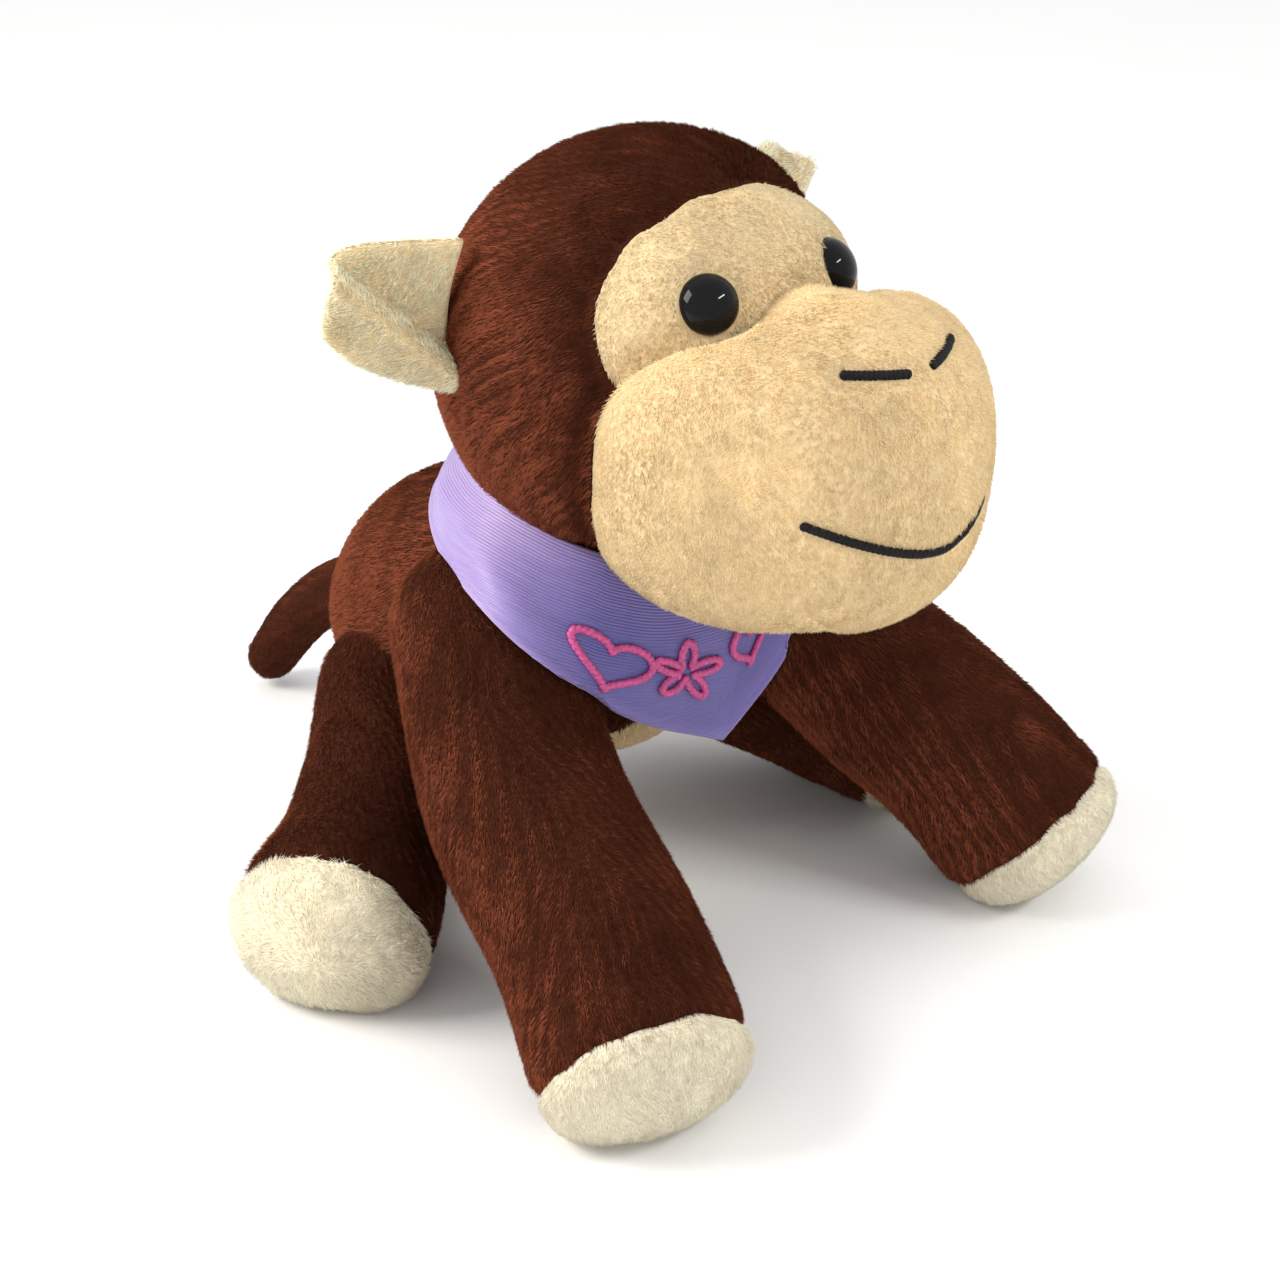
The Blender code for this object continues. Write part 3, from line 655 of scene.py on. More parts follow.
satin = satin_cloth()
pink_thread = speckled("pink_thread", PINK, 0.45, 1500, 0.3, 0.5)
black_thread = speckled("black_thread", (0.012, 0.011, 0.011), 0.6, 1500, 0.4, 0.5, Specular_IOR_Level=0.1)
eye_gloss = speckled("eye_gloss", (0.004, 0.004, 0.005), 0.05, 60, 0.2, 0.0, Specular_IOR_Level=0.17)
stuffing = speckled("stuffing_fibre", (0.82, 0.82, 0.8), 0.95, 350, 0.12, 0.8)
pouch_cloth = speckled("pouch_cloth", (0.7, 0.68, 0.62), 0.85, 700, 0.15, 0.6)
washer_plastic = speckled("washer_plastic", (0.75, 0.73, 0.68), 0.45, 200, 0.08, 0.1)


# ---------------------------------------------------------------- pile

def streaks(points, lying, scale, reach, seed):
    """Noise drawn out along the nap, with a spread of about one."""
    total = sum(waves(points + lying * shift, scale, seed) for shift in np.linspace(-reach, reach, 7))
    return (total - total.mean()) / max(float(total.std()), 1e-6)


def pile(name, skin, density, length, flow, shades, seed, lean=73, width=0.25, clear=(), swirl=0.22,
         tint=None):
    """Tapered fibres rooted all over a skin, laid along the nap in streaks of several shades."""
    random = np.random.default_rng(seed)
    corners = skin.triangles()
    a, b, c = (skin.points[corners[:, k]] for k in range(3))
    area = np.linalg.norm(np.cross(b - a, c - a), axis=1) / 2
    count = int(area.sum() * density * (1))
    chosen = random.choice(len(corners), count, p=area / area.sum())
    u, v = random.random(count), random.random(count)
    u, v = np.where(u + v > 1, 1 - u, u), np.where(u + v > 1, 1 - v, v)
    weights = np.stack([1 - u - v, u, v], axis=1)[:, :, None]
    normals = skin.normals()
    roots = np.sum(skin.points[corners[chosen]] * weights, axis=1)
    away = unit(np.sum(normals[corners[chosen]] * weights, axis=1))
    for line, reach in clear:
        keep = line_distance(roots, line) > reach
        roots, away = roots[keep], away[keep]
    count = len(roots)
    wander = 0.1 * random.normal(size=(count, 3))
    wander += swirl * np.stack([waves(roots, 30, seed + k) for k in range(3)], axis=1)
    wander += 0.6 * swirl * np.stack([waves(roots, 8, seed + k + 3) for k in range(3)], axis=1)
    lying = unit(flow(roots)) + wander
    lying = unit(lying - away * np.sum(lying * away, axis=1, keepdims=True))
    strand = streaks(roots, lying, 2.4, 3.5, seed + 7)
    tilt = np.radians(np.clip(lean + 4 * random.normal(size=count) - 5 * strand, 15, 84))
    aim = away * np.cos(tilt)[:, None] + lying * np.sin(tilt)[:, None]
    long = (length * random.uniform(0.75, 1.15, count))[:, None]
    across = unit(np.cross(aim, away + 0.01))
    upward = np.cross(across, aim)
    turn = random.uniform(0, math.tau, count)[:, None]
    half = width / 2
    ring = []
    for k in range(3):
        angle = turn + math.tau * k / 3
        ring.append(roots - away * 0.25 + half * (across * np.cos(angle) + upward * np.sin(angle)))
    tips = roots + aim * long
    points = np.stack([*ring, tips], axis=1).reshape(-1, 3)
    points[:, 2] = np.maximum(points[:, 2], 0.08)
    base = (np.arange(count) * 4)[:, None, None]
    faces = (base + np.array([[1, 0, 3], [2, 1, 3], [0, 2, 3], [0, 1, 2]])).reshape(-1, 3)
    tone = (len(shades) - 1) / 2 + 0.75 * strand
    tone = tone + 0.6 * waves(roots, 30, seed + 9) + 0.5 * waves(roots, 9, seed + 11)
    tone += random.normal(scale=0.45, size=count)
    # a tint adds shade steps; on brown pile it is painted light by where the surface faces
    if tint is not None:
        tone += tint(roots, away)
    tone = np.clip(np.round(tone), 0, len(shades) - 1).astype(np.int32)
    mesh = bpy.data.meshes.new(name)
    mesh.vertices.add(len(points))
    mesh.vertices.foreach_set("co", (points * MM).astype(np.float32).ravel())
    mesh.loops.add(len(faces) * 3)
    mesh.loops.foreach_set("vertex_index", faces.astype(np.int32).ravel())
    mesh.polygons.add(len(faces))
    mesh.polygons.foreach_set("loop_start", np.arange(0, len(faces) * 3, 3, dtype=np.int32))
    for look in shades:
        mesh.materials.append(look)
    mesh.polygons.foreach_set("material_index", np.repeat(tone, 4))
    mesh.update(calc_edges=True)
    mesh.shade_smooth()
    return linked(name, mesh)


# Painted light: the direction that brown pile faces where it is painted lighter, mostly the camera's left,
# where the key lamp is
PAINTED_LIGHT_SIDE = unit((-0.7, 0.55, -0.4))


def painted_side_light(strength, lift=0.0):
    """Painted light: brown pile gets more shade steps where it faces the camera's left, the key lamp's side,
    on the toy's right flank and back, plus a steady lift.
    """
    return lambda roots, away: lift + strength * np.clip(away @ PAINTED_LIGHT_SIDE - 0.05, -0.3, 0.65)


def steady(*aim):
    """A flow in one direction everywhere."""
    return lambda points: np.tile(unit(aim), (len(points), 1))


def away_from(centre, *push):
    """A flow that spreads from a point, with a steady push added."""
    return lambda points: unit(points - np.asarray(centre)) + np.asarray(push, float)


# ---------------------------------------------------------------- head

def mask_level(points):
    """Positive inside the face mask, in millimetres from its seam; the seam wavers a little."""
    x = points[:, 0] / MASK_WIDTH
    z = (points[:, 2] - (MASK_TOP - MASK_HEIGHT)) / MASK_HEIGHT
    z = np.where(z > 0, z, 0.45 * z)
    inside = (1 - np.sqrt(x**2 + z**2)) * 0.5 * (MASK_WIDTH + MASK_HEIGHT)
    front = HEAD_CENTRE[1] - points[:, 1]
    return np.minimum(inside + 0.35 * waves(points, 13, 3), front - 5)


def muzzle_level(points):
    """Positive on the muzzle's side of the crease."""
    return head_ball(points) - muzzle_field(points)


def eye_spot(word):
    """The middle of an eye's seat on the head and the way that it faces."""
    middle = (low_corner(f"eye_{word}") + high_corner(f"eye_{word}")) / 2
    aim = unit(middle - (0, 0, 1.2) - HEAD_CENTRE)
    return HEAD_CENTRE + aim * HEAD_RADIUS, aim


def make_head_skin():
    balls = [(HEAD_CENTRE, HEAD_RADIUS)]
    for x in (-14, 0, 14):
        for z in (-10, 8):
            balls.append((MUZZLE_CENTRE + (x, 0, z), 25))
    skin = wrapped(balls, head_field, SKIN_VOXEL)
    held = (np.abs(muzzle_level(skin.points)) < 2.0) | (np.abs(mask_level(skin.points)) < 1.2)
    skin = stuffed(skin, held)
    skin = divided(divided(finer(skin), muzzle_level), mask_level)
    muzzle_side = side_of(skin, muzzle_level)
    mask_side = side_of(skin, mask_level) & ~muzzle_side
    over = muzzle_level(skin.points)
    inside = np.where(over < 0, mask_level(skin.points), 50)
    pinched(skin, over, 1.1, 1.8)
    pinched(skin, inside, 0.6, 1.1)
    for word in ("right", "left"):
        pinched(skin, line_distance(skin.points, ear_seam(word)), 1.3, 1.8)
        seat, _ = eye_spot(word)
        pinched(skin, np.maximum(line_distance(skin.points, [seat]) - 4.5, 0), 1.3, 3.4)
    return skin, muzzle_side, mask_side


SMILE_HALF_WIDTH = 26.3
SMILE_LEFT_END = 17.0
SMILE_LOW_Z = 105.3
SMILE_RISE = 9.2


def on_skin(tree, start, aim):
    """Where a ray meets a skin, and the normal there, in millimetres."""
    hit, normal, _, _ = tree.ray_cast(Vector(start), Vector(unit(aim)))
    return np.array(hit), np.array(normal)


def mouth_line(tree, samples=60):
    """The smile, low across the muzzle and turned up at its ends."""
    line = []
    for x in np.linspace(-SMILE_HALF_WIDTH, SMILE_LEFT_END, samples):
        z = SMILE_LOW_Z + SMILE_RISE * (abs(x) / SMILE_HALF_WIDTH) ** 1.6
        line.append(on_skin(tree, (x, -140, z), (0, 1, 0)))
    return line


def nostril_line(tree, side, samples=22):
    line = []
    for share in np.linspace(0, 1, samples):
        start = (side * (3.2 + 12.0 * share), -140, 138.0 + 1.3 * share)
        line.append(on_skin(tree, start, (0, 1, 0)))
    return line


def face_lines(skin):
    """The smile and the right and left nostrils."""
    tree = BVHTree.FromPolygons([tuple(point) for point in skin.points], skin.faces)
    return mouth_line(tree), nostril_line(tree, -1), nostril_line(tree, 1)


def stitched(name, lines, look, radius, spacing, slant=0.4, lift=0.35, fade=0.0):
    """Thread along lines of (point, normal): overlapping slanted stitches, each a small spindle."""
    skins = []
    for line in lines:
        spots = np.array([spot for spot, _ in line])
        steps = np.linalg.norm(np.diff(spots, axis=0), axis=1)
        along = np.concatenate([[0], np.cumsum(steps)])
        count = max(2, int(along[-1] / spacing))
        for index in range(count):
            place = along[-1] * (index + 0.5) / count
            behind, spot, ahead = (
                np.array([np.interp(place + step, along, spots[:, k]) for k in range(3)])
                for step in (-0.4, 0, 0.4)
            )
            nearest = min(int(np.searchsorted(along, place)), len(line) - 1)
            normal = unit(line[nearest][1])
            forward = unit(ahead - behind)
            aside = unit(np.cross(normal, forward))
            lay = unit(forward + aside * slant)
            cross = unit(np.cross(normal, lay))
            middle = spot + normal * lift
            wide = radius * (1 - fade * max(0.0, 2 * place / along[-1] - 1))
            skins.append(spindle(middle, lay * spacing * 1.05, cross * wide, normal * wide * 0.8))
    return mesh_object(name, joined(skins), look)


def spindle(middle, long, wide, high, sides=8, rows=5):
    """A small closed stitch: a ball stretched along its thread."""
    ball = ball_skin((0, 0, 0), 1.0, sides, rows)
    turned = np.outer(ball.points[:, 2], long) + np.outer(ball.points[:, 0], wide)
    return Skin(turned + np.outer(ball.points[:, 1], high) + middle, ball.faces)


def lathe(profile, centre, aim, sides=48):
    """A closed turned solid from (radius, height) pairs, the first and last on the axis."""
    across = unit(np.cross(aim, UP))
    upward = np.cross(across, aim)
    points = [centre + aim * profile[0][1]]
    for radius, height in profile[1:-1]:
        for side in range(sides):
            turn = math.tau * side / sides
            offset = across * math.cos(turn) + upward * math.sin(turn)
            points.append(centre + aim * height + offset * radius)
    points.append(centre + aim * profile[-1][1])
    return Skin(points, turned_faces(sides, len(profile) - 2))


EYE_RADIUS = 5.8
EYE_DOME = 4.3
EYE_SINK = 0.8


def make_eye(word):
    """A glossy dome with a rounded rim, sunk a little into the cloth, on its shank."""
    seat, aim = eye_spot(word)
    profile = [(0.0, -8.0), (1.5, -8.0), (1.5, -1.2), (5.0, -1.2), (5.6, -0.7)]
    for step in range(14):
        lean = math.radians(90 * step / 14)
        profile.append((EYE_RADIUS * math.cos(lean), EYE_DOME * math.sin(lean)))
    profile.append((0.0, EYE_DOME))
    eye = mesh_object(f"eye_dome_{word}", lathe(profile, seat - aim * EYE_SINK, aim), eye_gloss)
    place(eye, "head", "eye_gloss", f"eye_{word}")


def place(item, body, slot, *nodes, fill=None):
    """Rides on a body and stands for CAD nodes; the fill is not used."""
    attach(item, body)
    if nodes:
        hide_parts(*nodes)
    return item


def make_head():
    skin, on_muzzle, on_mask = make_head_skin()
    pinches = ((0.9, 2.4), (0.8, 2.0), (0.8, 2.0))
    for line, (depth, width) in zip(face_lines(skin), pinches):
        pinched(skin, line_distance(skin.points, [spot for spot, _ in line]), depth, width)
    cleared(skin, "head_filling")
    mouth, *nostrils = face_lines(skin)
    parts = {
        "muzzle": (skin.part(on_muzzle), cream_cloth, "plush_cream"),
        "face_mask": (skin.part(on_mask), cream_cloth, "plush_cream"),
        "head_hood": (skin.part(~on_muzzle & ~on_mask), brown_cloth, "plush_brown"),
    }
    for node, (part, look, slot) in parts.items():
        place(mesh_object(f"{node}_cloth", part.thick(CLOTH), look), "head", slot, node, fill=0.85)
    face = [([spot for spot, _ in line], 1.0) for line in (mouth, *nostrils)]
    eyes = [([eye_spot(word)[0]], 6.3) for word in ("right", "left")]
    outward = away_from(MUZZLE_CENTRE + (0, -10, 24), 0, 0, -0.8)
    soft = pile("muzzle_pile", parts["muzzle"][0], 6.0, 1.15, outward, cream_pile, 11, lean=58,
                width=0.27, clear=face, swirl=0.5)
    place(soft, "head", "plush_cream")
    soft = pile("mask_pile", parts["face_mask"][0], 7.0, 1.0, steady(0, -0.2, -1), mask_pile, 12, lean=62,
                width=0.26, clear=eyes, swirl=0.4)
    place(soft, "head", "plush_cream")
    outward = away_from(HEAD_CENTRE + (0, -26, 24), 0, 0.6, -0.5)
    for index, (word, half) in enumerate(halves(parts["head_hood"][0])):
        # painted light: the hood's pile is lighter where it faces the key lamp's side
        soft = pile(f"hood_pile_{word}", half, 6.8, 1.9, outward, brown_pile, 20 + index,
                    tint=painted_side_light(7.5, 0.2))
        place(soft, "head", "plush_brown")
    for word, line in zip(("right", "left"), nostrils):
        make_eye(word)
        thread = stitched(f"nostril_thread_{word}", [line], black_thread, 1.0, 0.9)
        place(thread, "head", "thread_black", f"nostril_{word}")
    thread = stitched("mouth_thread", [mouth], black_thread, 0.95, 1.05, lift=0.3, fade=0.5)
    place(thread, "head", "thread_black", "mouth")


# ---------------------------------------------------------------- ears

EAR_THICKNESS = 2.2
EAR_LENGTH = 25.8
EAR_OVER = 14.5
EAR_UNDER = 15.2
EAR_LOBE = 6.5
EAR_COLUMNS = 40
EAR_ROWS = 60


def ear_frame(word):
    """The root of an ear, and its outward, upward and forward directions."""
    side = -1 if word == "right" else 1
    root = JOINTS[f"ear_{word}_fold"]
    outward = unit((side * 0.93, 0.36, 0.06))
    upward = unit(UP - outward * outward[2])
    return root, outward, upward, np.cross(outward, upward) * side


def ear_point(word, reach, rise, bulge):
    """A point of the ear: reach outwards from 0 to 1, rise from -1 to 1, bulge to front or back.

    The lower half is folded forward as a thick lobe, whose edge runs up and out as a ridge, and
    the upper half is a shallow cup behind it."""
    root, outward, upward, facing = ear_frame(word)
    over = EAR_OVER * math.sqrt(1 - reach**12)
    under = EAR_UNDER * (1 - reach**1.25) ** 0.55
    height = rise * (over if rise > 0 else under)
    past = height - (15.2 * (reach - 0.17) / 0.73 - 5.9)
    lobe = EAR_LOBE / (1 + math.exp(past / 0.8)) * math.exp(min(past, 0) / 11)
    cup = -3.4 * (1 - math.exp(-max(past, 0) / 1.5)) * math.exp(-max(past, 0) / 14)
    cup = cup + 0.008 * max(height, 0) ** 2
    dimple = -1.6 * math.exp(-(((reach - 0.8) * EAR_LENGTH / 3.5) ** 2) - ((height + 1.5) / 3) ** 2)
    forward = lobe + cup + dimple + 3.0 * reach**3 - 1.5 + bulge
    inset = 0.8 + height**2 / (2 * HEAD_RADIUS) * (1 - reach)
    return root + outward * (EAR_LENGTH * reach - inset) + upward * height + facing * forward


def make_ear_layer(word, layer):
    """One of the two sewn layers: a lens of cloth, thickest in its middle."""
    sign = 1 if layer == "front" else -1
    columns, rows = EAR_COLUMNS, EAR_ROWS
    points = []
    for face_side in (0, 1):
        for i in range(columns):
            reach = math.sin(math.pi / 2 * i / (columns - 1)) ** 0.9
            for j in range(rows):
                rise = 2 * j / (rows - 1) - 1
                rim = max(abs(rise), reach)
                bulge = sign * EAR_THICKNESS * math.sqrt(max(0.0, 1 - rim**5)) * face_side
                points.append(ear_point(word, reach, rise, bulge + sign * 0.04 * (1 - face_side)))
    points = np.array(points)
    half = columns * rows
    faces = []
    for base in (0, half):
        for i in range(columns - 1):
            for j in range(rows - 1):
                corner = base + i * rows + j
                face = (corner, corner + rows, corner + rows + 1, corner + 1)
                faces.append(face if base else face[::-1])
    rim = [i * rows for i in range(columns)]
    rim += [(columns - 1) * rows + j for j in range(1, rows)]
    rim += [i * rows + rows - 1 for i in range(columns - 2, -1, -1)]
    rim += [j for j in range(rows - 2, 0, -1)]
    for here, there in zip(rim, rim[1:] + rim[:1]):
        faces.append((here, there, there + half, here + half))
    skin = Skin(points, faces)
    outer = Skin(points[half:], [tuple(i - half for i in face) for face in faces if min(face) >= half])
    facing = ear_frame(word)[3]
    if np.sum(outer.normals() @ facing) * sign < 0:
        skin.faces = [face[::-1] for face in skin.faces]
        outer.faces = [face[::-1] for face in outer.faces]
    return skin, outer


def ear_seam(word):
    """Points of the line where an ear is sewn to the head."""
    line = []
    for rise in np.linspace(-1, 1, 30):
        spot = ear_point(word, 0.03, rise, 0.0)
        line.append(HEAD_CENTRE + unit(spot - HEAD_CENTRE) * HEAD_RADIUS)
    return line


def make_ears():
    for index, word in enumerate(("right", "left")):
        outward = ear_frame(word)[1]
        for layer in ("front", "back"):
            skin, outer = make_ear_layer(word, layer)
            item = mesh_object(f"ear_{word}_{layer}_cloth", skin, cream_cloth)
            place(item, f"ear_{word}", "plush_cream", f"ear_{word}_{layer}", fill=0.3)
            soft = pile(f"ear_{word}_{layer}_pile", outer, 6.0, 1.9, steady(*outward), ear_pile,
                        40 + 2 * index + (layer == "back"), lean=66, swirl=0.35,
                        tint=lambda roots, away: 1.1 * waves(roots, 2.6, 71))
            place(soft, f"ear_{word}", "plush_cream")


# ---------------------------------------------------------------- body

def cap_level(name):
    """Positive past the seam where a limb's end is sewn on, in millimetres."""
    seam = np.asarray(LIMBS[name][0][-1], float)
    axis = limb_axis(name)
    return lambda points: (points - seam) @ axis + 0.4 * waves(points, 11, 5)


def belly_level(points):
    """Positive inside the oval belly panel."""
    spine = unit(np.subtract(TORSO_PATH[-1], TORSO_PATH[0]))
    below = unit(np.cross((1, 0, 0), spine))
    below = below if below[2] < 0 else -below
    local = points - np.array(TORSO_PATH[1], float)
    x = local[:, 0] / BELLY_HALF[0]
    y = (local @ spine) / BELLY_HALF[1]
    inside = (1 - np.sqrt(x**2 + y**2)) * BELLY_HALF[0]
    return np.minimum(inside, local @ below - 4)


def make_body_skin():
    balls = []
    for path, radii in [(TORSO_PATH, TORSO_RADII), (NECK_PATH, NECK_RADII)] + list(LIMBS.values()):
        reach = np.linspace(0, 1, 9)
        balls += list(zip(smooth_path(path, reach), smooth_value(radii, reach) - 0.5))
    skin = wrapped(balls, body_field, SKIN_VOXEL)
    held = (np.abs(belly_level(skin.points)) < 1.5) | (skin.points[:, 2] < 1.0)
    for name in LIMBS:
        held |= (np.abs(cap_level(name)(skin.points)) < 1.2) & (limb_field(skin.points, name) < 3)
    skin = stuffed(skin, held)
    skin = finer(skin)
    skin.points[:, 2] = np.maximum(skin.points[:, 2], FLOOR_GAP)
    return skin


def owners(skin):
    """For each face, the tube that it belongs to: the torso is 0, then the limbs in order."""
    fields = [torso_field(skin.points)] + [limb_field(skin.points, name) for name in LIMBS]
    fields = np.stack(fields)
    return np.array([int(np.argmin(fields[:, list(face)].sum(axis=1))) for face in skin.faces])


def only_near(name):
    """The level of a limb's end seam, negative everywhere off that limb."""
    level = cap_level(name)
    return lambda points: np.where(limb_field(points, name) < 6, level(points), -50)


def make_body():
    skin = make_body_skin()
    ends = {name: only_near(name) for name in LIMBS}
    for level in ends.values():
        divided(skin, level)
    divided(skin, belly_level)
    owner = owners(skin)
    belly = (owner == 0) & side_of(skin, belly_level)
    caps = {name: side_of(skin, level) for name, level in ends.items()}
    for level in ends.values():
        pinched(skin, level(skin.points), 0.6, 1.3)
    cleared(skin, "torso_filling", "neck_filling", *[f"{name}_filling" for name in LIMBS])
    torso_back = skin.part((owner == 0) & ~belly)
    torso_belly = skin.part(belly)
    place(mesh_object("torso_back_cloth", torso_back.thick(CLOTH), brown_cloth), "torso", "plush_brown",
          "torso_back", fill=0.85)
    place(mesh_object("torso_belly_cloth", torso_belly.thick(CLOTH), cream_cloth), "torso", "plush_cream",
          "torso_belly", fill=0.85)
    for index, (word, half) in enumerate(halves(torso_back)):
        # painted light: the back's pile is lighter where it faces the key lamp's side
        soft = pile(f"back_pile_{word}", half, 6.2, 1.9, steady(0, 0.7, -0.7), brown_pile, 50 + index,
                    tint=painted_side_light(6.5, 0.8))
        place(soft, "torso", "plush_brown")
    soft = pile("belly_pile", torso_belly, 5.0, 1.6, steady(0, 0.6, -0.6), cream_pile, 54)
    place(soft, "torso", "plush_cream")
    for index, name in enumerate(LIMBS):
        mine = owner == index + 1
        make_limb(name, skin.part(mine), caps[name][mine], 60 + 3 * index)


def make_limb(name, skin, on_cap, seed):
    """A limb's sleeve and end, each cloth with pile; the end rides on the limb."""
    path = [np.asarray(point, float) for point in LIMBS[name][0]]
    level = cap_level(name)
    sleeve = skin.part(~on_cap)
    cap = skin.part(on_cap)
    end = LIMB_ENDS[name]
    along = unit(path[2] - path[0])
    reach = (root_edge(sleeve, level) - path[0]) @ along
    axis = limb_axis(name)
    pale = mesh_object(f"{name}_{end}_cloth", cap.thick(CLOTH), pale_cloth)
    place(pale, name, "plush_pale", f"{name}_{end}", fill=0.85)
    if end == "paw":
        flow, tuft = steady(*(unit(axis) + (0, 0, -0.3))), 1.9
        outward = steady(*(axis + (0, 0, -0.4)))
    else:
        flow, tuft = steady(*(axis * 0.5 + (0, -0.6, -0.3))), 2.3
        outward = away_from(path[-1] + axis * 4, 0, 0, -0.1)
    soft = pile(f"{name}_{end}_pile", cap, 6.0, tuft, outward, pale_pile, seed + 1, lean=66)
    place(soft, name, "plush_pale")
    cloth = mesh_object(f"{name}_sleeve_cloth", sleeve.thick(CLOTH), brown_cloth)
    # painted light on the sleeve's pile where it faces the key lamp's side, with a steady lift, larger on the
    # arms
    tint = painted_side_light(3.0, 1.7 if end == "paw" else 0.3)
    soft = pile(f"{name}_sleeve_pile", sleeve, 5.8, 2.0, flow, brown_pile, seed, tint=tint)
    for item in (cloth, soft):
        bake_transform(item)
    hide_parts(f"{name}_sleeve")


def root_edge(skin, level):
    """The points of a sleeve's open edge that isn't its cap seam."""
    count = {}
    for face in skin.faces:
        for here, there in zip(face, face[1:] + face[:1]):
            key = (min(here, there), max(here, there))
            count[key] = count.get(key, 0) + 1
    open_points = sorted({index for key, times in count.items() if times == 1 for index in key})
    spots = skin.points[open_points]
    return spots[level(spots) < -8]


def tail_field(points):
    field = tube_field(points, TAIL_PATH, TAIL_RADII)
    return soft_max(field, FLOOR_GAP - points[:, 2], 2)


def make_tail():
    reach = np.linspace(0, 1, 14)
    balls = list(zip(smooth_path(TAIL_PATH, reach), smooth_value(TAIL_RADII, reach)))
    skin = finer(wrapped(balls, tail_field, 1.4))
    skin.points[:, 2] = np.maximum(skin.points[:, 2], FLOOR_GAP)
    cloth = mesh_object("tail_cloth", skin, brown_cloth)
    soft = pile("tail_pile", skin, 6.0, 1.5, steady(0, 0.8, -0.6), brown_pile, 80)
    place(cloth, "tail", "plush_brown", "tail_sleeve", fill=0.8)
    place(soft, "tail", "plush_brown")


# ---------------------------------------------------------------- bandana

BANDANA_TOP = [(0, -55, 79), (-15, -52, 80), (-29, -43, 88), (-35.5, -26, 98), (-31, -10, 102),
               (-17, 2, 103), (0, 6, 103)]
BANDANA_LOW = [(0, -57, 45), (-23, -54, 57), (-41, -48, 73), (-45, -33, 83), (-37, -11, 88),
               (-22, 6, 90), (0, 14, 91)]
BANDANA_COLUMNS = 220
BANDANA_ROWS = 44
HEM = 3.2


def bandana_edge(points, turn):
    """Points of an edge all the way round: turn 0 is the chest, 0.25 the monkey's right."""
    half = np.where(turn <= 0.5, 2 * turn, 2 * (1 - turn))
    edge = smooth_path(points, half)
    edge[:, 0] *= np.where(turn <= 0.5, 1, -1)
    return edge


def bandana_grid():
    """Rows of points from the upper edge to the lower one, draped clear of the body and the head."""
    turn = np.arange(BANDANA_COLUMNS) / BANDANA_COLUMNS
    top = bandana_edge(BANDANA_TOP, turn)
    low = bandana_edge(BANDANA_LOW, turn)
    rows = []
    for drop in np.linspace(0, 1, BANDANA_ROWS):
        middle = top + (low - top) * drop
        outward = unit(np.stack([middle[:, 0], (middle[:, 1] + 28) * 0.9, np.full(len(turn), 16.0)], axis=1))
        swell = 4.0 * math.sin(math.pi * drop**0.8) + 2.0 * math.exp(-(((drop - 0.14) / 0.12) ** 2))
        swell = swell * (1 - 0.75 * np.clip((np.minimum(turn, 1 - turn) - 0.2) / 0.12, 0, 1))
        folds = 0.5 * np.sin(turn * math.tau * 9 + 3 * drop) * math.sin(math.pi * drop)
        hollow = 1.8 * np.exp(-(((turn - 0.12) / 0.06) ** 2) - ((drop - 0.5) / 0.2) ** 2)
        rows.append(middle + outward * (swell + folds - hollow)[:, None])
    grid = np.array(rows)
    tuck = np.clip(1 - np.linspace(0, 1, BANDANA_ROWS) / 0.35, 0, 1)[:, None]
    for _ in range(6):
        gap = (head_ball(grid.reshape(-1, 3)) - 1.4).reshape(grid.shape[:2])
        tucked = np.clip(gap, 0, 3) * tuck
        grid += unit(HEAD_CENTRE - grid) * tucked[:, :, None]
        flat = grid.reshape(-1, 3)
        for field, clear in ((body_field, 2.0), (head_ball, 1.2), (muzzle_field, 1.6)):
            gap = field(flat)
            close = gap < clear
            flat[close] += unit(slope(field, flat[close])) * (clear - gap[close])[:, None]
        grid = flat.reshape(grid.shape)
        inner = grid[1:-1]
        middle = (grid[:-2] + grid[2:] + np.roll(inner, 1, axis=1) + np.roll(inner, -1, axis=1)) / 4
        grid[1:-1] = inner + 0.5 * (middle - inner)
    return grid


def grid_normals(grid):
    down = np.gradient(grid, axis=0)
    round_it = np.roll(grid, -1, axis=1) - np.roll(grid, 1, axis=1)
    normal = unit(np.cross(round_it, down))
    middle = grid.mean(axis=(0, 1))
    if np.sum((grid - middle) * normal) < 0:
        normal = -normal
    return normal


def at_grid(grid, turn, drop):
    """The point of the grid at this turn and drop."""
    x = (turn % 1.0) * grid.shape[1]
    y = drop * (grid.shape[0] - 1)
    i, j = int(x), min(int(y), grid.shape[0] - 2)
    u, v = x - i, y - j
    i, k = i % grid.shape[1], (i + 1) % grid.shape[1]
    above, below = (grid[row, i] * (1 - u) + grid[row, k] * u for row in (j, j + 1))
    return above * (1 - v) + below * v


def satin_painted_light(rows, columns):
    """Painted light and shade on the satin, from 0 to 1: painted light, towards lilac, most at the collar,
    the side and the hem, and painted shade, towards blue, least in the hollow.
    """
    drop = np.linspace(0, 1, rows)[:, None]
    turn = (np.arange(columns) / columns)[None, :]
    side = np.abs((turn + 0.5) % 1.0 - 0.5)
    tone = 0.12 + 0.3 * np.exp(-(((drop - 0.08) / 0.16) ** 2)) + 0.45 * np.clip((side - 0.13) / 0.1, 0, 1)
    tone = tone + 0.25 * np.clip((drop - 0.9) / 0.1, 0, 1)
    return tone - 0.2 * np.exp(-(((side - 0.11) / 0.05) ** 2) - ((drop - 0.5) / 0.22) ** 2)


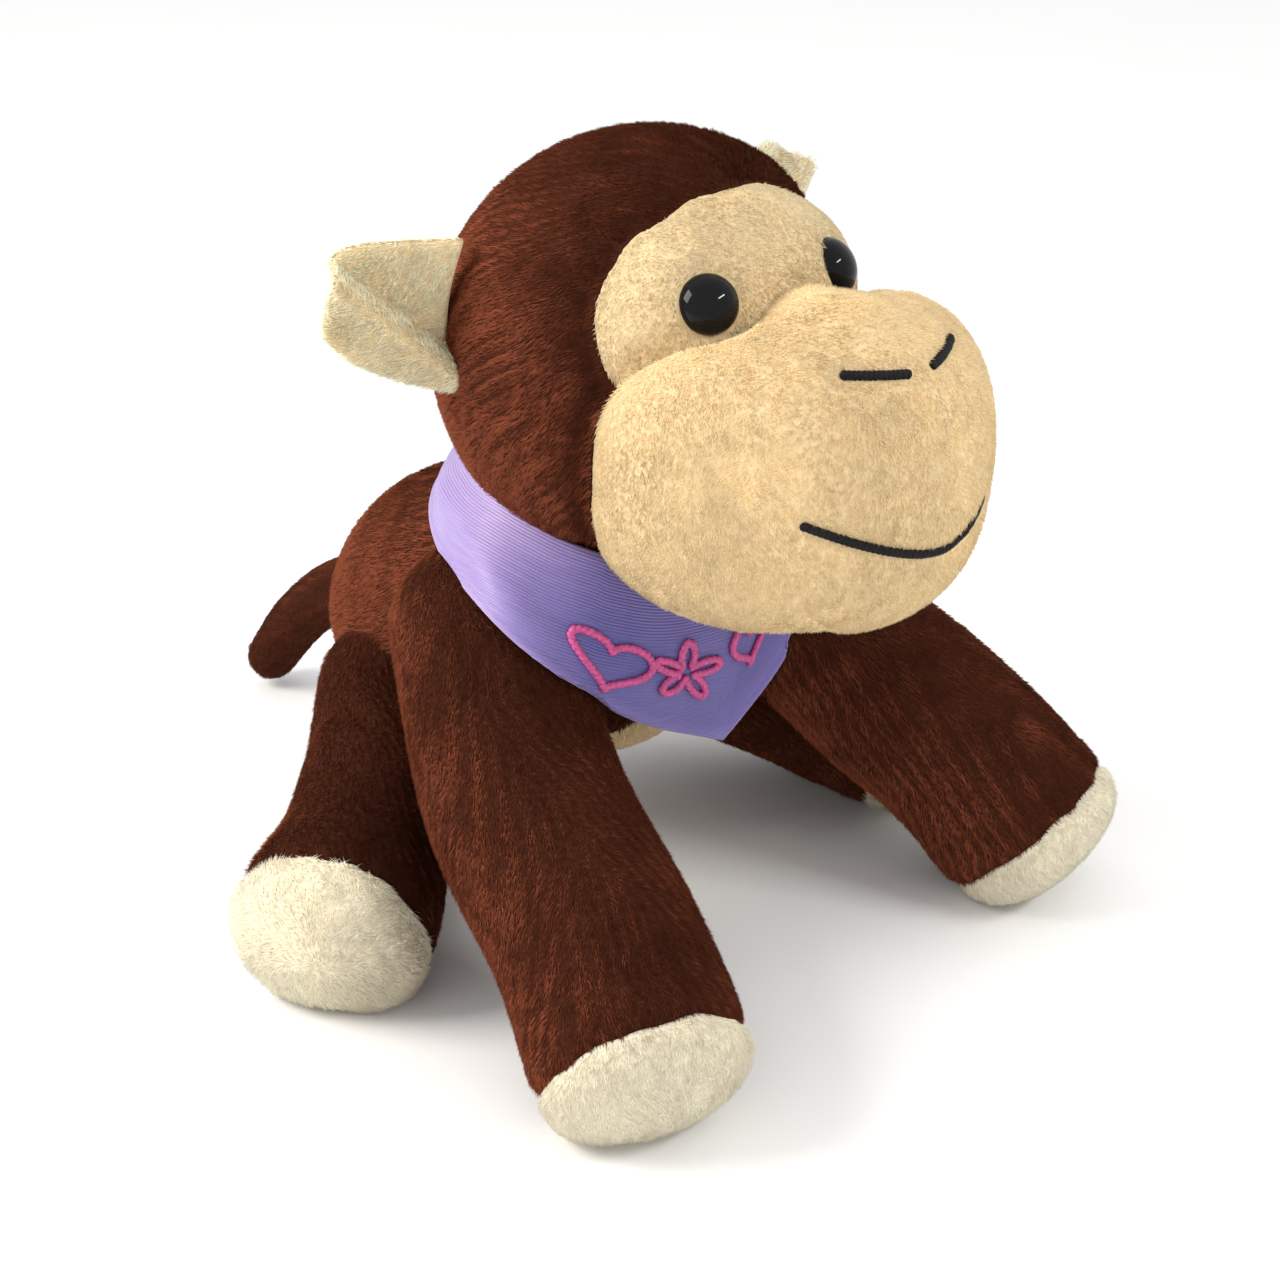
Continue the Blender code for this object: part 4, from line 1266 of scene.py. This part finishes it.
def make_bandana():
    grid = bandana_grid()
    normal = grid_normals(grid)
    rows, columns = grid.shape[:2]
    lengths = np.linalg.norm(np.diff(grid, axis=0), axis=2)
    down = np.vstack([np.zeros(columns), np.cumsum(lengths, axis=0)])
    to_hem = down[-1] - down
    hem = 0.5 * np.clip((HEM - to_hem) / 0.5, 0, 1) * np.clip(to_hem / 0.4, 0, 1)
    stitch = -0.45 * np.exp(-(((to_hem - HEM + 0.6) / 0.35) ** 2))
    outer = grid + normal * (0.55 + hem + stitch)[:, :, None]
    inner = grid - normal * 0.1
    points = np.vstack([outer.reshape(-1, 3), inner[::-1].reshape(-1, 3)])
    faces = []
    rings = 2 * rows
    for row in range(rings):
        for column in range(columns):
            after = (column + 1) % columns
            here, there = row * columns, ((row + 1) % rings) * columns
            faces.append((here + column, there + column, there + after, here + after))
    skin = Skin(points, faces)
    if np.sum(skin.normals()[: rows * columns] * normal.reshape(-1, 3)) < 0:
        skin.faces = [face[::-1] for face in skin.faces]
    item = mesh_object("bandana_sheet", skin, satin)
    around = np.tile(np.arange(columns) * 1.0, (rows, 1))
    # the third channel is the painted light and shade
    cloth = np.stack([around, down, satin_painted_light(rows, columns)], axis=2)
    cloth = np.vstack([cloth.reshape(-1, 3), cloth[::-1].reshape(-1, 3)])
    item.data.attributes.new("cloth", "FLOAT_VECTOR", "POINT").data.foreach_set("vector", cloth.ravel())
    place(item, "torso", "satin", "bandana")
    motif = make_embroidery(outer, normal)
    knot = make_knot(outer)
    return item, knot


def heart(turn, drop, size):
    """A heart's outline as (turn, drop) pairs, its size as a share of the drop."""
    line = []
    for angle in np.linspace(0, math.tau, 40):
        x = 16 * math.sin(angle) ** 3
        y = 13 * math.cos(angle) - 5 * math.cos(2 * angle) - 2 * math.cos(3 * angle) - math.cos(4 * angle)
        line.append((turn - x / 34 * size * 0.16, drop - y / 34 * size))
    return line


def flower(turn, drop, size):
    """A five-petal outline."""
    line = []
    for angle in np.linspace(0, math.tau, 60):
        radius = 0.5 * (0.62 + 0.38 * math.cos(5 * angle))
        line.append((turn - radius * math.sin(angle) * size * 0.16, drop - radius * math.cos(angle) * size))
    return line


def make_embroidery(grid, normal):
    """Raised pink thread across the chest: a large heart, a flower and a small heart."""
    shapes = [heart(0.115, 0.6, 0.5), flower(0.045, 0.55, 0.4), heart(-0.02, 0.45, 0.3)]
    lines = []
    for shape in shapes:
        lines.append([(at_grid(grid, *spot), at_grid(normal, *spot)) for spot in shape])
    motif = stitched("bandana_motif", lines, pink_thread, 0.85, 1.25, slant=0.3, lift=0.5)
    return place(motif, "torso", "thread_pink", "bandana_embroidery")


KNOT_END = [(1, 1, 0), (1.6, 2.2, -2.5), (1.6, 2.6, -5), (1.6, 2.6, -7.5)]


def make_knot(grid):
    """The knot at the nape: a wrapped bundle and two short folded ends."""
    centre = at_grid(grid, 0.5, 0.45) + (0, 3.0, 0.5)
    bundle = ball_skin((0, 0, 0), 1.0, 36, 24)
    wrap = 1 + 0.06 * np.cos(bundle.points[:, 0] * 9 + bundle.points[:, 1] * 4)
    skins = [Skin(bundle.points * wrap[:, None] * (5.2, 4.2, 4.2) + centre, bundle.faces)]
    for side in (-1, 1):
        path = [centre + (side * x, y, z) for x, y, z in KNOT_END]
        rings = []
        for reach in np.linspace(0, 1, 24):
            spot = smooth_path(path, [reach])[0]
            behind, before = smooth_path(path, [max(0, reach - 0.02), min(1, reach + 0.02)])
            ahead = unit(before - behind)
            across = unit(np.cross(ahead, UP))
            upward = np.cross(across, ahead)
            wide = 1.5 + 1.3 * reach**0.8 - 0.9 * max(0, reach - 0.85) / 0.15
            for turn in np.linspace(0, math.tau, 20, endpoint=False):
                ripple = 0.4 * math.sin(3 * turn + 5 * reach)
                rings.append(spot + across * wide * math.cos(turn) + upward * (1.3 + ripple) * math.sin(turn))
        faces = []
        for row in range(23):
            for k in range(20):
                after = (k + 1) % 20
                faces.append((row * 20 + k, row * 20 + after, row * 20 + 20 + after, row * 20 + 20 + k))
        faces.append(tuple(range(19, -1, -1)))
        faces.append(tuple(range(23 * 20, 24 * 20)))
        skins.append(Skin(rings, faces))
    item = mesh_object("bandana_knot_cloth", joined(skins), satin)
    count = len(item.data.vertices)
    spots = np.zeros(count * 3)
    item.data.vertices.foreach_get("co", spots)
    cloth = spots.reshape(-1, 3) / MM
    cloth[:, 2] = 0.3
    item.data.attributes.new("cloth", "FLOAT_VECTOR", "POINT").data.foreach_set("vector", cloth.ravel())
    return place(item, "torso", "satin", "bandana_knot")


# ---------------------------------------------------------------- inner pieces, stage and camera

def dress_inner_pieces():
    """The CAD pieces that stay: fillings, the pellet pouch and the eyes' washers."""
    for name, node in frame["nodes"].items():
        if node.hide_render:
            continue
        look = stuffing
        if name.startswith("eye_washer"):
            look = washer_plastic
        if name == "pellet_pouch":
            look = pouch_cloth
        node.data.materials.clear()
        node.data.materials.append(look)


CAMERA_AZIMUTH = -44.6
CAMERA_ELEVATION = 25.7
CAMERA_DISTANCE = 442.0
CAMERA_LENS = 64.1
CAMERA_TARGET = np.array([-29.4, -62.4, 80.0])


def camera_axes():
    a, e = math.radians(CAMERA_AZIMUTH), math.radians(CAMERA_ELEVATION)
    back = np.array([math.sin(a) * math.cos(e), -math.cos(a) * math.cos(e), math.sin(e)])
    right = np.array([math.cos(a), math.sin(a), 0.0])
    return back, right, np.cross(back, right)


def aimed(name, data, spot, facing):
    """An object at this spot that looks this way."""
    made = linked(name, data)
    made.location = spot * MM
    made.rotation_mode = "QUATERNION"
    made.rotation_quaternion = Vector(facing).to_track_quat("-Z", "Y")
    return made


def make_camera():
    back, _, _ = camera_axes()
    data = bpy.data.cameras.new("camera")
    data.lens = CAMERA_LENS
    data.sensor_width = 36
    data.clip_start = 0.01
    data.clip_end = 20
    spot = CAMERA_TARGET + back * CAMERA_DISTANCE
    bpy.context.scene.camera = aimed("camera", data, spot, -back)


def make_light(name, direction, distance, size, power, colour=(1, 1, 1)):
    data = bpy.data.lights.new(name, "AREA")
    data.shape = "RECTANGLE"
    data.size, data.size_y = size
    data.energy = power
    data.color = colour
    aimed(name, data, np.array([0, -30, 70]) + unit(direction) * distance, -unit(direction))


def make_stage():
    back, right, up = camera_axes()
    corners = [(-3000, -3000, 0), (3000, -3000, 0), (3000, 3000, 0), (-3000, 3000, 0)]
    paint = speckled("floor_paint", (0.93, 0.93, 0.93), 0.9, 12, 0.005, 0.0)
    mesh_object("floor", Skin(corners, [(0, 1, 2, 3)]), paint)
    make_light("key", -right * 0.85 + up * 0.5 + back * 0.45, 900, (0.45, 0.45), 7.0, (1.0, 0.96, 0.9))
    make_light("sparkle", right * 0.69 + up * 0.44 + back * 0.58, 800, (0.3, 0.032), 1.8)
    world = bpy.data.worlds.new("studio")
    world.use_nodes = True
    world.node_tree.nodes["Background"].inputs["Color"].default_value = (1, 1, 1, 1)
    world.node_tree.nodes["Background"].inputs["Strength"].default_value = 0.95
    bpy.context.scene.world = world
    bpy.context.scene.view_settings.view_transform = "Standard"


make_camera()
make_stage()
make_head()
make_ears()
make_body()
make_tail()
make_bandana()
dress_inner_pieces()
